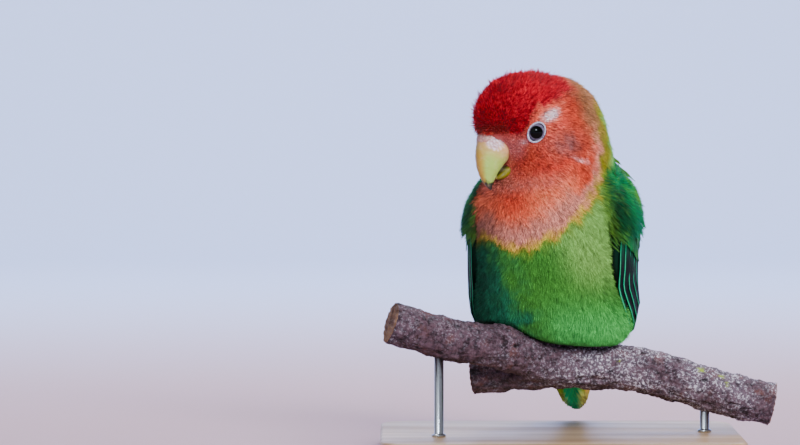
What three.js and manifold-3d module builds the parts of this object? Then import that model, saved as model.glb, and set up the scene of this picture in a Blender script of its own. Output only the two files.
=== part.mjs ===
import * as THREE from "three";
import Module from "manifold-3d";

// A peach faced lovebird, perched on a cut length of branch over a plain display stand.
// Millimetres, +Z up. The bird faces -Y, turned a little towards -X, and its left side is at +X.
// The origin is the centre of the underside of the base.

const wasm = await Module();
wasm.setup();
const { Manifold, Mesh } = wasm;
const DEG = Math.PI / 180;

const GAP = 0.3; // parting gap between nodes

// Stand
const BASE_X = 124;
const BASE_Y = 100;
const BASE_Z = 7;
const BASE_CORNER = 12;
const BASE_EDGE = 1.2;
const ROD_RADIUS = 1.6;
const ROD_SIDES = 16;
const ROD_SINK = 4;
const ROD_LEFT_X = -42;
const ROD_RIGHT_X = 50;

// Perch: axis points (x, y, z) and radius of the run from the right-hand cut end to the upper left
const PERCH_AXIS = [
  [73, 1, 16.4, 7.2],
  [62, 0.6, 18.8, 7.3],
  [48, 0.2, 23.0, 7.5],
  [34, 0, 26.9, 7.6],
  [21, 0, 29.3, 7.7],
  [8, 0, 29.8, 7.5],
  [-4, -1.2, 31.0, 7.3],
  [-13, -6, 34.2, 7.4],
  [-20, -11, 37.0, 7.6],
  [-30, -16, 38.6, 7.1],
  [-42, -20, 41.0, 7.1],
  [-58, -24, 46.2, 7.2],
];
// The sawn stub that runs on to the left, behind the upper limb
const STUB_AXIS = [
  [10, 0.3, 29.4, 6.6],
  [-4, 1.6, 28.6, 6.6],
  [-18, 3.2, 27.3, 6.3],
  [-30, 4.6, 25.9, 5.8],
];
const BARK = 1.045; // room left for the knobs of the bark
const PERCH_SIDES = 12;
const PERCH_RINGS = 22;
const STUB_RINGS = 6;

// Bird frame: a forwards, b to its left, c up from the top of the perch
const BIRD_TURN = 13 * DEG;
const BIRD_AT = [-3, 0, 36.8];
const FWD = [-Math.sin(BIRD_TURN), -Math.cos(BIRD_TURN), 0];
const LEFT = [Math.cos(BIRD_TURN), -Math.sin(BIRD_TURN), 0];
const UP = [0, 0, 1];

// Head frame: h along the bill, m to its left, n up
const HEAD_TURN = 67 * DEG;
const HEAD_PITCH = 10 * DEG;
const HEAD_AT = [-7.4, -8, 111.2];

// Plumage form: ellipsoids in the bird frame, blended softly
// [a, b, c, half length, half width, half depth, tilt of the length above level]
const BLEND = 2.4;
const BODY_FORMS = [
  [1, 0, 27, 30, 26.6, 23.0, 76], // belly
  [4, 0, 43, 23, 25.6, 23.2, 68], // breast
  [-15, -0.5, 35, 34, 22.5, 19.5, 60], // back
  [0, 0, 57, 18, 20.5, 18, 75], // neck base
  [-33, -2, 9, 24, 13.5, 10.5, 57], // rump and vent
  [0.5, 15.2, 12.4, 15, 13.8, 14.6, 84], // left thigh and flank
  [0, -13, 13.5, 15, 13.6, 14.6, 84], // right thigh and flank
];
// The same in the head frame: [h, m, n, half length, half width, half height, tilt]
const HEAD_FORMS = [
  [-4, 0, 0.6, 18, 16.5, 17.4, 0], // skull and crown
  [-4.5, 0, -5, 15.4, 16.5, 14, 0], // cheeks
  [8.6, 0, 8.6, 14.6, 12, 11.3, -20], // forehead, full down to the bill
  [-6.5, 0, -12, 15.5, 17.5, 15, 20], // throat and nape
];

// Spine of the sampling rings, in the bird frame (a, b, c)
const SPINE = [
  [-33, -2, 8],
  [-2, 0, 44],
  [7, -1.5, 78],
];
const BODY_SIDES = 32;
const CAP_RINGS = 6;
const SPINE_RINGS = 18;
const MAX_REACH = 70;
const SLOPE_STEP = 0.05;

// Parting planes in the bird frame: a point and an upward normal
const HEAD_CUT = { at: [5, 0, 58.5], n: [0.3, -0.36, 0.88] };
const NECK_CUT = { at: [3, 0, 44.5], n: [0.32, -0.2, 0.92] };

// Wing plate: lower edge and upper edge from the bend to the tip, bird frame, left side
const WING_LOW = [
  [9, 19, 59],
  [13.5, 20, 45],
  [12, 21, 25],
  [0, 24, 9],
  [-28, 17, -4],
  [-57, 6.5, -8],
];
const WING_HIGH = [
  [0, 16, 61],
  [-14, 16, 60],
  [-26, 12, 50],
  [-36, 6, 33],
  [-43, 2.5, 15],
  [-59, 3, -5],
];
const WING_SINK = 1.0;
const WING_PROUD = 1.2; // at the edges
const WING_FULL = { 1: 2.6, [-1]: 0.5 }; // more over the folded arm; the right wing is pressed in
const FULL_END = 0.59; // where along the wing that fullness ends
const FULL_BLUFF = 0.6;
const FULL_ACROSS = [0.18, 0.9];
const TIP_THIN = 0.35; // thickness at the wing tip, of that before it
const TIP_RUN = 0.29;
const WING_STEPS = 10;
const WING_ACROSS = 4;
const TIP_SHIFT = -2.2; // both tips follow the tail to the bird's right

// Feathers of the wing, tier by tier from the lowest up. Each row runs from its first vane at the lower
// edge to its last at the back edge, in places on the plate: along it from bend to tip, and across it.
const PRIMARIES = {
  count: 6,
  root: [[0.4, 0.14], [0.4, 0.6]],
  tip: [[0.84, 0.14], [1.04, 0.66]],
  high: 0,
};
const SECONDARIES = {
  count: 5,
  root: [[0.3, 0.14], [0.26, 0.84]],
  tip: [[0.58, 0.14], [0.8, 0.88]],
  high: 1.05,
};
const GREATER_COVERTS = {
  count: 5,
  root: [[0.2, 0.14], [0.14, 0.86]],
  tip: [[0.38, 0.14], [0.44, 0.88]],
  high: 1.1,
};
const MEDIAN_COVERTS = {
  count: 4,
  root: [[0.1, 0.17], [0.04, 0.84]],
  tip: [[0.25, 0.16], [0.26, 0.88]],
  high: 1.2,
};
const TIERS = [PRIMARIES, SECONDARIES, GREATER_COVERTS, MEDIAN_COVERTS];
const VANE_THICK = 0.6;
const VANE_EDGE = 0.85; // thickness at the edges, of that in the middle
const VANE_STEPS = 3;
const VANE_SUNK = 0.75; // depth of the roots in the plate
const VANE_RISE = 0.6; // the lower edge of each vane stands this much higher than its middle
const ROOT_RISE = 0.4; // part of that rise at the root
const VANE_OUT = 0.6; // part of the length after which a vane is wholly out of the plate
const VANE_LAP = 0.57; // half width, of the distance to the next vane
const VANE_OUTLINE = [0.25, 0.85, 1, 0.3];
const VANE_CLEAR = 0.7; // over the flank, where a vane passes the edge of the plate
const LOOSE = 0.08; // seeded spread of the tips, of the length

// Tail: root and tip in the bird frame
const TAIL_ROOT = [-35, -2, 12];
const TAIL_TIP = [-66, -4.8, -27.2];
const TAIL_WIDTH = [12, 12.6, 13.4, 13.6, 13, 11, 4];
const TAIL_DEPTH = [7, 5.4, 4.0, 2.6, 1.6, 1.0, 0.8];
const TAIL_CORE_WIDTH = 0.72; // of the width, beyond the rump
const TAIL_CORE_END = 0.78;
const TAIL_SIDES = 10;
const TAIL_VANES = 7; // the middle one lies on top
const TAIL_VANE_ROOT = 0.4;
const TAIL_VANE_STEPS = 4;
const TAIL_VANE_THICK = [0.8, 0.55]; // at the root and the tip
const TAIL_VANE_NARROW = 0.8; // width at the root, of the full one
const TAIL_VANE_LIFT = [0.9, 1.05]; // over the axis, at the root and once clear of the core
const TAIL_VANE_CLEAR = 0.4; // part of the length after which it is clear
const TAIL_VANE_FALL = 0.9; // towards the axis by the tip
const TAIL_VANE_ARCH = 0.3;
const TAIL_FAN_ROOT = 0.4; // part of the fan already there at the root
const TAIL_RINGS = 6;
const TAIL_VANE_HALF = 3.9;
const TAIL_FAN = 3.3; // sideways place of the outermost tips
const TAIL_SHORTER = 0.13; // the outermost end this much sooner
const TAIL_DROP = 0.62; // each pair lies this much under the one before

// Bill: ridge and cutting edge of the upper half, in the head frame without pitch (forwards, up)
const RIDGE = [
  [20.0, 2.6],
  [25.2, -4],
  [25.2, -15.5],
  [18.4, -20.2],
];
const CUTTING = [
  [7, -5],
  [12, -9.5],
  [17, -14],
  [18.0, -19.6],
];
const BILL_HALF_WIDTH = [6.0, 5.9, 5.5, 4.9, 4.2, 3.4, 2.5, 1.6, 0.5];
const LOWER_TOP = [
  [8, -6.5],
  [12.5, -9.6],
  [15.4, -13],
  [16.6, -15.6],
];
const LOWER_UNDER = [
  [7, -13.5],
  [11, -16.6],
  [14.5, -17.8],
  [16.8, -16.4],
];
const LOWER_HALF_WIDTH = [4.9, 4.8, 4.5, 4.0, 3.3, 2.4, 0.7];
const BILL_SIDES = 14;
const BILL_RINGS = 12;
const BILL_THIN = 0.45; // half the height at the tips
const BILL_POINT = 0.3; // length of the point past the last ring
const CERE = { at: [19.6, 0, 1.8], r: [4.6, 5.2, 2.9], tilt: -35 };
const NOSTRIL = { h: 21.6, m: 2.5, n: 3.2, r: 0.75 };

// Eyes
const EYE_AT = [8.2, 1.2]; // forwards and up in the head frame
const EYE_RADIUS = 4.1;
const EYE_SINK = 2.5;
const LID_LONG = 4.05;
const LID_SHORT = 3.25;
const LID_THICK = 0.75;
const LID_DEPTH = 0.15; // middle of the rim under the plumage form
const LID_AROUND = 18;
const LID_SIDES = 6;
const LID_TILT = 40 * DEG;

// Legs and feet, bird frame
const LEG_OUT = { 1: 13, [-1]: 0 }; // both feet stand to the bird's left, as it leans on its mate
const LEG_PATH = [
  [-9, 9, 5.4],
  [-13, 4.5, 5.0],
  [-15.8, -0.5, 3.6],
  [-16.4, -3.6, 2.4],
  [-14.6, -5.2, 1.8],
  [-12, -5.0, 1.6],
  [-9.6, -4.2, 1.6],
];
const FOOT_ANGLE = -62; // where the foot sits on the perch, degrees forward of the top
const TOES = [
  // sideways at the start and the end, angle at the end, thickness
  { out: [-1.3, -2.8], to: 14, thick: 1.25 },
  { out: [1.3, 3.2], to: 18, thick: 1.35 },
  { out: [-1.3, -3.4], to: -106, thick: 1.15 },
  { out: [1.3, 4.0], to: -116, thick: 1.3 },
];
const TOE_RINGS = 8;
const TOE_SIDES = 6;
const LEG_SIDES = 10;
const CLAW_RINGS = 3;
const CLAW_RADIUS = [0.8, 0.3];
const CLAW_LIFT = 0.25;
const TOE_JOINTS = 0.1; // swelling at the joints
const TOE_TAPER = [1.1, 0.9];
const CLAW_ANGLE = 24;

// Vectors
const add = (p, q) => [p[0] + q[0], p[1] + q[1], p[2] + q[2]];
const sub = (p, q) => [p[0] - q[0], p[1] - q[1], p[2] - q[2]];
const mul = (p, k) => [p[0] * k, p[1] * k, p[2] * k];
const dot = (p, q) => p[0] * q[0] + p[1] * q[1] + p[2] * q[2];
const cross = (p, q) => [
  p[1] * q[2] - p[2] * q[1],
  p[2] * q[0] - p[0] * q[2],
  p[0] * q[1] - p[1] * q[0],
];
const len = (p) => Math.hypot(p[0], p[1], p[2]);
const unit = (p) => mul(p, 1 / len(p));
const lerp = (p, q, t) => add(mul(p, 1 - t), mul(q, t));
const mix = (a, b, t) => a + (b - a) * t;

// Frames
const birdVec = ([a, b, c]) => add(add(mul(FWD, a), mul(LEFT, b)), mul(UP, c));
const birdPoint = (p) => add(BIRD_AT, birdVec(p));
const HEAD_OUT = [-Math.sin(HEAD_TURN), -Math.cos(HEAD_TURN), 0];
const HEAD_M = [Math.cos(HEAD_TURN), -Math.sin(HEAD_TURN), 0];
const HEAD_H = add(mul(HEAD_OUT, Math.cos(HEAD_PITCH)), mul(UP, -Math.sin(HEAD_PITCH)));
const HEAD_N = add(mul(HEAD_OUT, Math.sin(HEAD_PITCH)), mul(UP, Math.cos(HEAD_PITCH)));
const headPoint = ([h, m, n]) =>
  add(HEAD_AT, add(add(mul(HEAD_H, h), mul(HEAD_M, m)), mul(HEAD_N, n)));
const billPoint = (out, m, up) =>
  add(HEAD_AT, add(add(mul(HEAD_OUT, out), mul(HEAD_M, m)), mul(UP, up)));

// Smooth curve through a list of points of any dimension
function through(points, t) {
  const x = Math.min(Math.max(t, 0), 1) * (points.length - 1);
  const i = Math.min(Math.floor(x), points.length - 2);
  const u = x - i;
  const p = (k) => points[Math.min(Math.max(k, 0), points.length - 1)];
  return points[i].map((_, d) => {
    const [p0, p1, p2, p3] = [p(i - 1)[d], p(i)[d], p(i + 1)[d], p(i + 2)[d]];
    return (
      p1 +
      0.5 * u * (p2 - p0 + u * (2 * p0 - 5 * p1 + 4 * p2 - p3 + u * (3 * (p1 - p2) + p3 - p0)))
    );
  });
}
const sample = (list, t) => through(list.map((v) => [v]), t)[0];

function bezier(points, t) {
  let p = points;
  while (p.length > 1) p = p.slice(1).map((q, i) => q.map((v, d) => mix(p[i][d], v, t)));
  return p[0];
}

// Solids
function solid(points, faces) {
  return new Manifold(
    new Mesh({
      numProp: 3,
      vertProperties: new Float32Array(points.flat()),
      triVerts: new Uint32Array(faces.flat()),
    }),
  );
}

// The same, turned round when its faces point inwards
function closed(points, faces) {
  const made = solid(points, faces);
  return made.volume() < 0 ? solid(points, faces.map(([x, y, z]) => [x, z, y])) : made;
}

// Rings of equal count, closed by a point at each end
function loft(rings, first, last) {
  const n = rings[0].length;
  const points = [...rings.flat(), first, last];
  const [a, b] = [points.length - 2, points.length - 1];
  const faces = [];
  for (let i = 0; i < n; i++) {
    const j = (i + 1) % n;
    faces.push([a, j, i]);
    for (let k = 0; k + 1 < rings.length; k++) {
      const [p, q] = [k * n, (k + 1) * n];
      faces.push([p + i, p + j, q + j], [p + i, q + j, q + i]);
    }
    const e = (rings.length - 1) * n;
    faces.push([e + i, e + j, b]);
  }
  return closed(points, faces);
}

// Two grids of the same size, face to face, joined round the border with the same triangles on both
function slab(inner, outer) {
  const [nu, nv] = [inner.length, inner[0].length];
  const points = [...inner.flat(), ...outer.flat()];
  const id = (i, j, top) => i * nv + j + (top ? nu * nv : 0);
  const faces = [];
  const quad = (a, b, c, d) => faces.push([a, b, c], [a, c, d]);
  for (let i = 0; i + 1 < nu; i++)
    for (let j = 0; j + 1 < nv; j++) {
      quad(id(i, j, 1), id(i + 1, j, 1), id(i + 1, j + 1, 1), id(i, j + 1, 1));
      faces.push(
        [id(i, j, 0), id(i + 1, j + 1, 0), id(i + 1, j, 0)],
        [id(i, j, 0), id(i, j + 1, 0), id(i + 1, j + 1, 0)],
      );
    }
  for (let i = 0; i + 1 < nu; i++) {
    quad(id(i, 0, 0), id(i + 1, 0, 0), id(i + 1, 0, 1), id(i, 0, 1));
    quad(id(i + 1, nv - 1, 0), id(i, nv - 1, 0), id(i, nv - 1, 1), id(i + 1, nv - 1, 1));
  }
  for (let j = 0; j + 1 < nv; j++) {
    quad(id(0, j + 1, 0), id(0, j, 0), id(0, j, 1), id(0, j + 1, 1));
    quad(id(nu - 1, j, 0), id(nu - 1, j + 1, 0), id(nu - 1, j + 1, 1), id(nu - 1, j, 1));
  }
  return closed(points, faces);
}

// Tube along stations [x, y, z, radius], the ring plane kept square to the run and turned by ref
function tube(stations, sides, ref, shape = () => 1) {
  const rings = stations.map((s, i) => {
    const before = stations[Math.max(i - 1, 0)];
    const after = stations[Math.min(i + 1, stations.length - 1)];
    const along = unit(sub(after, before));
    const side = unit(sub(ref, mul(along, dot(ref, along))));
    const over = cross(side, along);
    return Array.from({ length: sides }, (_, k) => {
      const f = (2 * Math.PI * k) / sides;
      const r = s[3] * shape(i / (stations.length - 1), f);
      return add(s, add(mul(side, r * Math.cos(f)), mul(over, r * Math.sin(f)))).slice(0, 3);
    });
  });
  return loft(rings, stations[0].slice(0, 3), stations.at(-1).slice(0, 3));
}

// The same run with both ends moved outwards
function longer(run, by) {
  const on = (p, q) => [...add(p, mul(unit(sub(p, q)), by)), p[3]];
  return [on(run[0], run[1]), ...run.slice(1, -1), on(run.at(-1), run.at(-2))];
}

// Ellipsoid with axes e1, e2, e3
function ellipsoid(at, axes, radii, rows, sides) {
  const rings = [];
  for (let i = 1; i < rows; i++) {
    const e = Math.PI * (i / rows - 0.5);
    rings.push(
      Array.from({ length: sides }, (_, k) => {
        const f = (2 * Math.PI * k) / sides;
        return [Math.cos(e) * Math.cos(f), Math.cos(e) * Math.sin(f), Math.sin(e)].reduce(
          (p, v, d) => add(p, mul(axes[d], v * radii[d])),
          at,
        );
      }),
    );
  }
  const end = (s) => add(at, mul(axes[2], s * radii[2]));
  return loft(rings, end(-1), end(1));
}

// Plumage form
const FORMS = [
  ...BODY_FORMS.map(([a, b, c, r1, r2, r3, tilt]) => {
    const t = tilt * DEG;
    return {
      at: birdPoint([a, b, c]),
      axes: [
        birdVec([Math.cos(t), 0, Math.sin(t)]),
        birdVec([0, 1, 0]),
        birdVec([-Math.sin(t), 0, Math.cos(t)]),
      ],
      r: [r1, r2, r3],
    };
  }),
  ...HEAD_FORMS.map(([h, m, n, r1, r2, r3, tilt]) => {
    const t = tilt * DEG;
    return {
      at: headPoint([h, m, n]),
      axes: [
        add(mul(HEAD_H, Math.cos(t)), mul(HEAD_N, Math.sin(t))),
        HEAD_M,
        add(mul(HEAD_H, -Math.sin(t)), mul(HEAD_N, Math.cos(t))),
      ],
      r: [r1, r2, r3],
    };
  }),
];

// Near-distance to one ellipsoid, blended over all of them by a soft minimum
function form(p) {
  let sum = 0;
  for (const { at, axes, r } of FORMS) {
    const d = sub(p, at);
    const q = axes.map((x, i) => dot(d, x) / r[i]);
    const k0 = Math.max(len(q), 1e-6);
    const k1 = Math.max(len(q.map((v, i) => v / r[i])), 1e-6);
    sum += Math.exp((-k0 * (k0 - 1)) / k1 / BLEND);
  }
  return -BLEND * Math.log(Math.max(sum, 1e-300));
}
function outward(p) {
  const f = form(p);
  return unit([0, 1, 2].map((d) => form(p.map((v, i) => (i === d ? v + SLOPE_STEP : v))) - f));
}
// The point pushed out to a level of the form, when it is inside it
function pushed(p, level) {
  let q = p;
  for (let i = 0; i < 20; i++) {
    const d = form(q);
    if (d > level - 1e-3) break;
    q = add(q, mul(outward(q), Math.min(level - d, 4)));
  }
  return q;
}
// Where a ray from inside meets the form
function reach(from, way, level = 0) {
  let [near, far] = [0, MAX_REACH];
  for (let i = 0; i < 40; i++) {
    const mid = (near + far) / 2;
    if (form(add(from, mul(way, mid))) < level) near = mid;
    else far = mid;
  }
  return add(from, mul(way, near));
}

// Ring of the form: v from -1 (tail end) through 0..1 (along the spine) to 2 (crown)
function bodyRing(v) {
  const s = Math.min(Math.max(v, 0), 1);
  const at = bezier(SPINE, s);
  const along = unit(sub(bezier(SPINE, Math.min(s + 0.01, 1)), bezier(SPINE, Math.max(s - 0.01, 0))));
  const over = unit(cross(along, [0, 1, 0])).map((x) => -x);
  const side = cross(over, along);
  const lift = (v - s) * 90 * DEG;
  return Array.from({ length: BODY_SIDES }, (_, k) => {
    const f = (2 * Math.PI * k) / BODY_SIDES;
    const flat = add(mul(over, Math.cos(f)), mul(side, Math.sin(f)));
    const way = add(mul(flat, Math.cos(lift)), mul(along, Math.sin(lift)));
    return reach(birdPoint(at), unit(birdVec(way)));
  });
}
function bodyForm() {
  const vs = [];
  for (let i = 1; i < CAP_RINGS; i++) vs.push(-1 + i / CAP_RINGS);
  for (let i = 0; i <= SPINE_RINGS; i++) vs.push(i / SPINE_RINGS);
  for (let i = 1; i < CAP_RINGS; i++) vs.push(1 + i / CAP_RINGS);
  const end = (v) => {
    const ring = bodyRing(v);
    return mul(ring.reduce(add), 1 / ring.length);
  };
  return loft(vs.map(bodyRing), end(-1), end(2));
}

// Perch and stand
const stations = (axis, count, grow = 0) =>
  Array.from({ length: count + 1 }, (_, i) => {
    const s = through(axis, i / count);
    return [s[0], s[1], s[2], s[3] + grow];
  });
const knobs = (t, f) => 1 + 0.022 * Math.sin(3 * f + 23 * t) + 0.018 * Math.sin(2 * f - 41 * t);
function perchSolid(grow = 0) {
  const run = tube(stations(PERCH_AXIS, PERCH_RINGS, grow), PERCH_SIDES, UP, knobs);
  const stub = tube(stations(STUB_AXIS, STUB_RINGS, grow), PERCH_SIDES, UP, knobs);
  return run.add(stub);
}
function perchAxisAt(x) {
  const list = stations(PERCH_AXIS, 400);
  return list.reduce((best, s) => (Math.abs(s[0] - x) < Math.abs(best[0] - x) ? s : best));
}

function fromGeometry(g) {
  const flat = g.index ? g.toNonIndexed() : g;
  const a = flat.getAttribute("position").array;
  const seen = new Map();
  const points = [];
  const ids = [];
  for (let i = 0; i < a.length; i += 3) {
    const p = [a[i], a[i + 1], a[i + 2]].map((v) => Math.round(v * 1e4) / 1e4);
    const key = p.join();
    if (!seen.has(key)) seen.set(key, points.push(p) - 1);
    ids.push(seen.get(key));
  }
  const faces = [];
  for (let i = 0; i < ids.length; i += 3) {
    const f = ids.slice(i, i + 3);
    if (new Set(f).size === 3) faces.push(f);
  }
  return solid(points, faces);
}

function baseSolid() {
  const [x, y, r] = [BASE_X / 2 - BASE_EDGE, BASE_Y / 2 - BASE_EDGE, BASE_CORNER];
  const s = new THREE.Shape();
  s.moveTo(-x + r, -y);
  s.lineTo(x - r, -y);
  s.absarc(x - r, -y + r, r, -Math.PI / 2, 0);
  s.lineTo(x, y - r);
  s.absarc(x - r, y - r, r, 0, Math.PI / 2);
  s.lineTo(-x + r, y);
  s.absarc(-x + r, y - r, r, Math.PI / 2, Math.PI);
  s.lineTo(-x, -y + r);
  s.absarc(-x + r, -y + r, r, Math.PI, 1.5 * Math.PI);
  const g = new THREE.ExtrudeGeometry(s, {
    depth: BASE_Z - 2 * BASE_EDGE,
    bevelThickness: BASE_EDGE,
    bevelSize: BASE_EDGE,
    bevelSegments: 1,
    curveSegments: 4,
  });
  return fromGeometry(g.translate(0, 0, BASE_EDGE));
}
function rod(x, grow = 0) {
  const [px, py, pz] = perchAxisAt(x);
  const low = BASE_Z - ROD_SINK - grow;
  const high = pz + grow;
  const r = ROD_RADIUS + grow;
  const g = new THREE.CylinderGeometry(r, r, high - low, ROD_SIDES).rotateX(Math.PI / 2);
  return fromGeometry(g.translate(px, py, (low + high) / 2));
}

// Wings and tail
const mirrored = ([a, b, c], side) => [a, b * side, c];

function wingGrid(side) {
  const grid = [];
  for (let i = 0; i <= WING_STEPS; i++) {
    const s = i / WING_STEPS;
    const [low, high] = [through(WING_LOW, s), through(WING_HIGH, s)];
    const row = [];
    for (let j = 0; j <= WING_ACROSS; j++) {
      const p = mirrored(lerp(low, high, j / WING_ACROSS), side);
      p[1] += TIP_SHIFT * s * s;
      row.push(pushed(birdPoint(p), -WING_SINK));
    }
    grid.push(row);
  }
  return grid;
}
// The border of a grid moved outwards within the sheet
function widened(grid, by) {
  const away = (p, q) => add(p, mul(unit(sub(p, q)), by));
  const [nu, nv] = [grid.length - 1, grid[0].length - 1];
  const wide = grid.map((row) => [
    away(row[0], row[1]),
    ...row.slice(1, nv),
    away(row[nv], row[nv - 1]),
  ]);
  return wide.map((row, i) =>
    row.map((p, j) => (i === 0 ? away(p, wide[1][j]) : i === nu ? away(p, wide[nu - 1][j]) : p)),
  );
}
// Height of the plate's outer face over its inner one
function wingHeight(side, s, w) {
  const full = Math.max(Math.sin(Math.PI * Math.min(s / FULL_END, 1)), 0) ** FULL_BLUFF;
  const across = Math.max(Math.sin(Math.PI * mix(...FULL_ACROSS, w)), 0);
  const thin = Math.min(1, TIP_THIN + (1 - s) / TIP_RUN);
  return (WING_SINK + WING_PROUD) * thin + WING_FULL[side] * full * across;
}
// The folded wing as one plate on the flank; grown, it is the cutter of its own seat
function wingPlate(side, grow = 0) {
  const grid = wingGrid(side);
  const normals = grid.map((row) => row.map(outward));
  const shift = (by) => grid.map((row, i) => row.map((p, j) => add(p, mul(normals[i][j], by(i, j)))));
  const inner = shift(() => -grow);
  const outer = shift((i, j) => wingHeight(side, i / WING_STEPS, j / WING_ACROSS) + 9 * grow);
  return grow ? slab(widened(inner, 2 * grow), widened(outer, 2 * grow)) : slab(inner, outer);
}

// Seeded draw between -1 and 1
function draw(seed) {
  const x = Math.sin(seed * 127.1 + 311.7) * 43758.5453;
  return 2 * (x - Math.floor(x)) - 1;
}
const wingSpot = (side, s, w) => {
  const p = mirrored(lerp(through(WING_LOW, s), through(WING_HIGH, s), w), side);
  const over = Math.max(s - 1, 0);
  p[1] += TIP_SHIFT * s * s;
  const along = sub(through(WING_LOW, 1), through(WING_LOW, 0.9));
  const at = pushed(add(birdPoint(p), birdVec(mul(along, over * 10))), -WING_SINK);
  const n = outward(at);
  return { at: add(at, mul(n, wingHeight(side, Math.min(s, 1), w))), n };
};
// Centre line of the vane at place u of a tier, 0 at the lower edge and 1 at the back edge
function vaneLine(side, { root, tip }, u, more) {
  const at = ([p, q]) => [mix(p[0], q[0], u), mix(p[1], q[1], u)];
  const [from, to] = [at(root), at(tip)];
  const far = to[0] + more * (to[0] - from[0]);
  return Array.from({ length: VANE_STEPS + 1 }, (_, i) =>
    wingSpot(side, mix(from[0], far, i / VANE_STEPS), mix(from[1], to[1], i / VANE_STEPS)),
  );
}
function wingVane(side, tier, i, seed) {
  const du = 1 / (tier.count - 1);
  const u = i * du;
  const more = LOOSE * draw(seed);
  const spots = vaneLine(side, tier, u, more);
  const next = vaneLine(side, tier, u < 0.5 ? u + du : u - du, more);
  const inner = [];
  const outer = [];
  spots.forEach(({ at, n }, k) => {
    const t = k / VANE_STEPS;
    const run = unit(sub(spots[Math.min(k + 1, VANE_STEPS)].at, spots[Math.max(k - 1, 0)].at));
    const across = mul(unit(cross(n, run)), -side);
    const half = VANE_LAP * Math.abs(dot(sub(next[k].at, at), across)) * VANE_OUTLINE[k];
    const rise = VANE_RISE * Math.min(1, ROOT_RISE + t);
    const high = mix(-VANE_SUNK - VANE_THICK / 2, tier.high, Math.min(1, t / VANE_OUT));
    const place = (j, up) => {
      const q = add(at, add(mul(across, half * j), mul(n, high + rise * j + up)));
      return pushed(q, VANE_CLEAR + up);
    };
    const thick = (j) => VANE_THICK * (j ? VANE_EDGE : 1);
    inner.push([-1, 0, 1].map((j) => place(j, 0)));
    outer.push([-1, 0, 1].map((j) => place(j, thick(j))));
  });
  return slab(inner, outer);
}
function wingFeathers(side) {
  return TIERS.flatMap((tier, k) =>
    Array.from({ length: tier.count }, (_, i) => wingVane(side, tier, i, 10 * k + i + (side > 0 ? 0 : 50))),
  );
}

function tailRings(grow = 0) {
  const along = unit(sub(TAIL_TIP, TAIL_ROOT));
  const side = unit(cross([0, 0, 1], along));
  const over = unit(cross(along, side));
  const total = len(sub(TAIL_TIP, TAIL_ROOT));
  const rings = [];
  for (let i = 0; i <= TAIL_RINGS; i++) {
    const t = (TAIL_CORE_END * i) / TAIL_RINGS;
    const at = add(TAIL_ROOT, mul(along, total * t - (i ? 0 : grow)));
    const core = t > TAIL_VANE_ROOT ? TAIL_CORE_WIDTH : 1;
    const [w, d] = [(core * sample(TAIL_WIDTH, t)) / 2 + grow, sample(TAIL_DEPTH, t) / 2 + grow];
    rings.push(
      Array.from({ length: TAIL_SIDES }, (_, k) => {
        const f = (2 * Math.PI * k) / TAIL_SIDES;
        return birdPoint(
          add(at, add(mul(side, w * Math.cos(f)), mul(over, d * Math.sin(f)))),
        );
      }),
    );
  }
  return rings;
}
// One tail feather; k counts the pairs out from the middle, negative to the bird's right
function tailVane(k) {
  const along = unit(sub(TAIL_TIP, TAIL_ROOT));
  const side = unit(cross([0, 0, 1], along));
  const over = unit(cross(along, side));
  const total = len(sub(TAIL_TIP, TAIL_ROOT));
  const out = k / ((TAIL_VANES - 1) / 2);
  const end = 1 - TAIL_SHORTER * out * out;
  const inner = [];
  const outer = [];
  for (let i = 0; i <= TAIL_VANE_STEPS; i++) {
    const t = i / TAIL_VANE_STEPS;
    const at = add(TAIL_ROOT, mul(along, total * mix(TAIL_VANE_ROOT, end, t)));
    const w = TAIL_VANE_HALF * sample(VANE_OUTLINE, t) * mix(TAIL_VANE_NARROW, 1, t);
    const clear = TAIL_VANE_LIFT[1] - TAIL_DROP * Math.abs(k);
    const high = mix(TAIL_VANE_LIFT[0], clear, Math.min(1, t / TAIL_VANE_CLEAR)) - TAIL_VANE_FALL * t;
    const fan = TAIL_FAN * out * mix(TAIL_FAN_ROOT, 1, t);
    const place = (j, up) =>
      birdPoint(add(at, add(mul(side, fan + w * j), mul(over, up - TAIL_VANE_ARCH * Math.abs(j)))));
    const thick = (j) => mix(...TAIL_VANE_THICK, t) * (j ? VANE_EDGE : 1);
    inner.push([-1, 0, 1].map((j) => place(j, high)));
    outer.push([-1, 0, 1].map((j) => place(j, high + thick(j))));
  }
  return slab(inner, outer);
}
function tailPlain(grow = 0) {
  const rings = tailRings(grow);
  const mid = (ring) => mul(ring.reduce(add), 1 / ring.length);
  return loft(rings, mid(rings[0]), mid(rings.at(-1)));
}

// Bill, cere and eyes
function billSolid(top, under, widths, grow) {
  const rings = [];
  for (let i = 0; i <= BILL_RINGS; i++) {
    const t = i / BILL_RINGS;
    const [p, q] = [bezier(top, t), bezier(under, t)];
    const mid = [(p[0] + q[0]) / 2, (p[1] + q[1]) / 2];
    const d = [(p[0] - q[0]) / 2, (p[1] - q[1]) / 2];
    const half = Math.max(Math.hypot(...d), BILL_THIN);
    const w = sample(widths, t) + grow;
    const k = (half + grow) / Math.max(Math.hypot(...d), 1e-3);
    rings.push(
      Array.from({ length: BILL_SIDES }, (_, j) => {
        const f = (2 * Math.PI * j) / BILL_SIDES;
        const c = Math.cos(f) * k;
        return billPoint(mid[0] + d[0] * c, w * Math.sin(f), mid[1] + d[1] * c);
      }),
    );
  }
  const mid = (ring) => mul(ring.reduce(add), 1 / ring.length);
  const back = mul(unit(sub(mid(rings[0]), mid(rings[1]))), grow);
  rings[0] = rings[0].map((p) => add(p, back));
  const tip = mid(rings.at(-1));
  const on = mul(unit(sub(tip, mid(rings.at(-2)))), grow + BILL_POINT);
  return loft(rings, mid(rings[0]), add(tip, on));
}
const billUpper = (grow = 0) => billSolid(RIDGE, CUTTING, BILL_HALF_WIDTH, grow);
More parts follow.
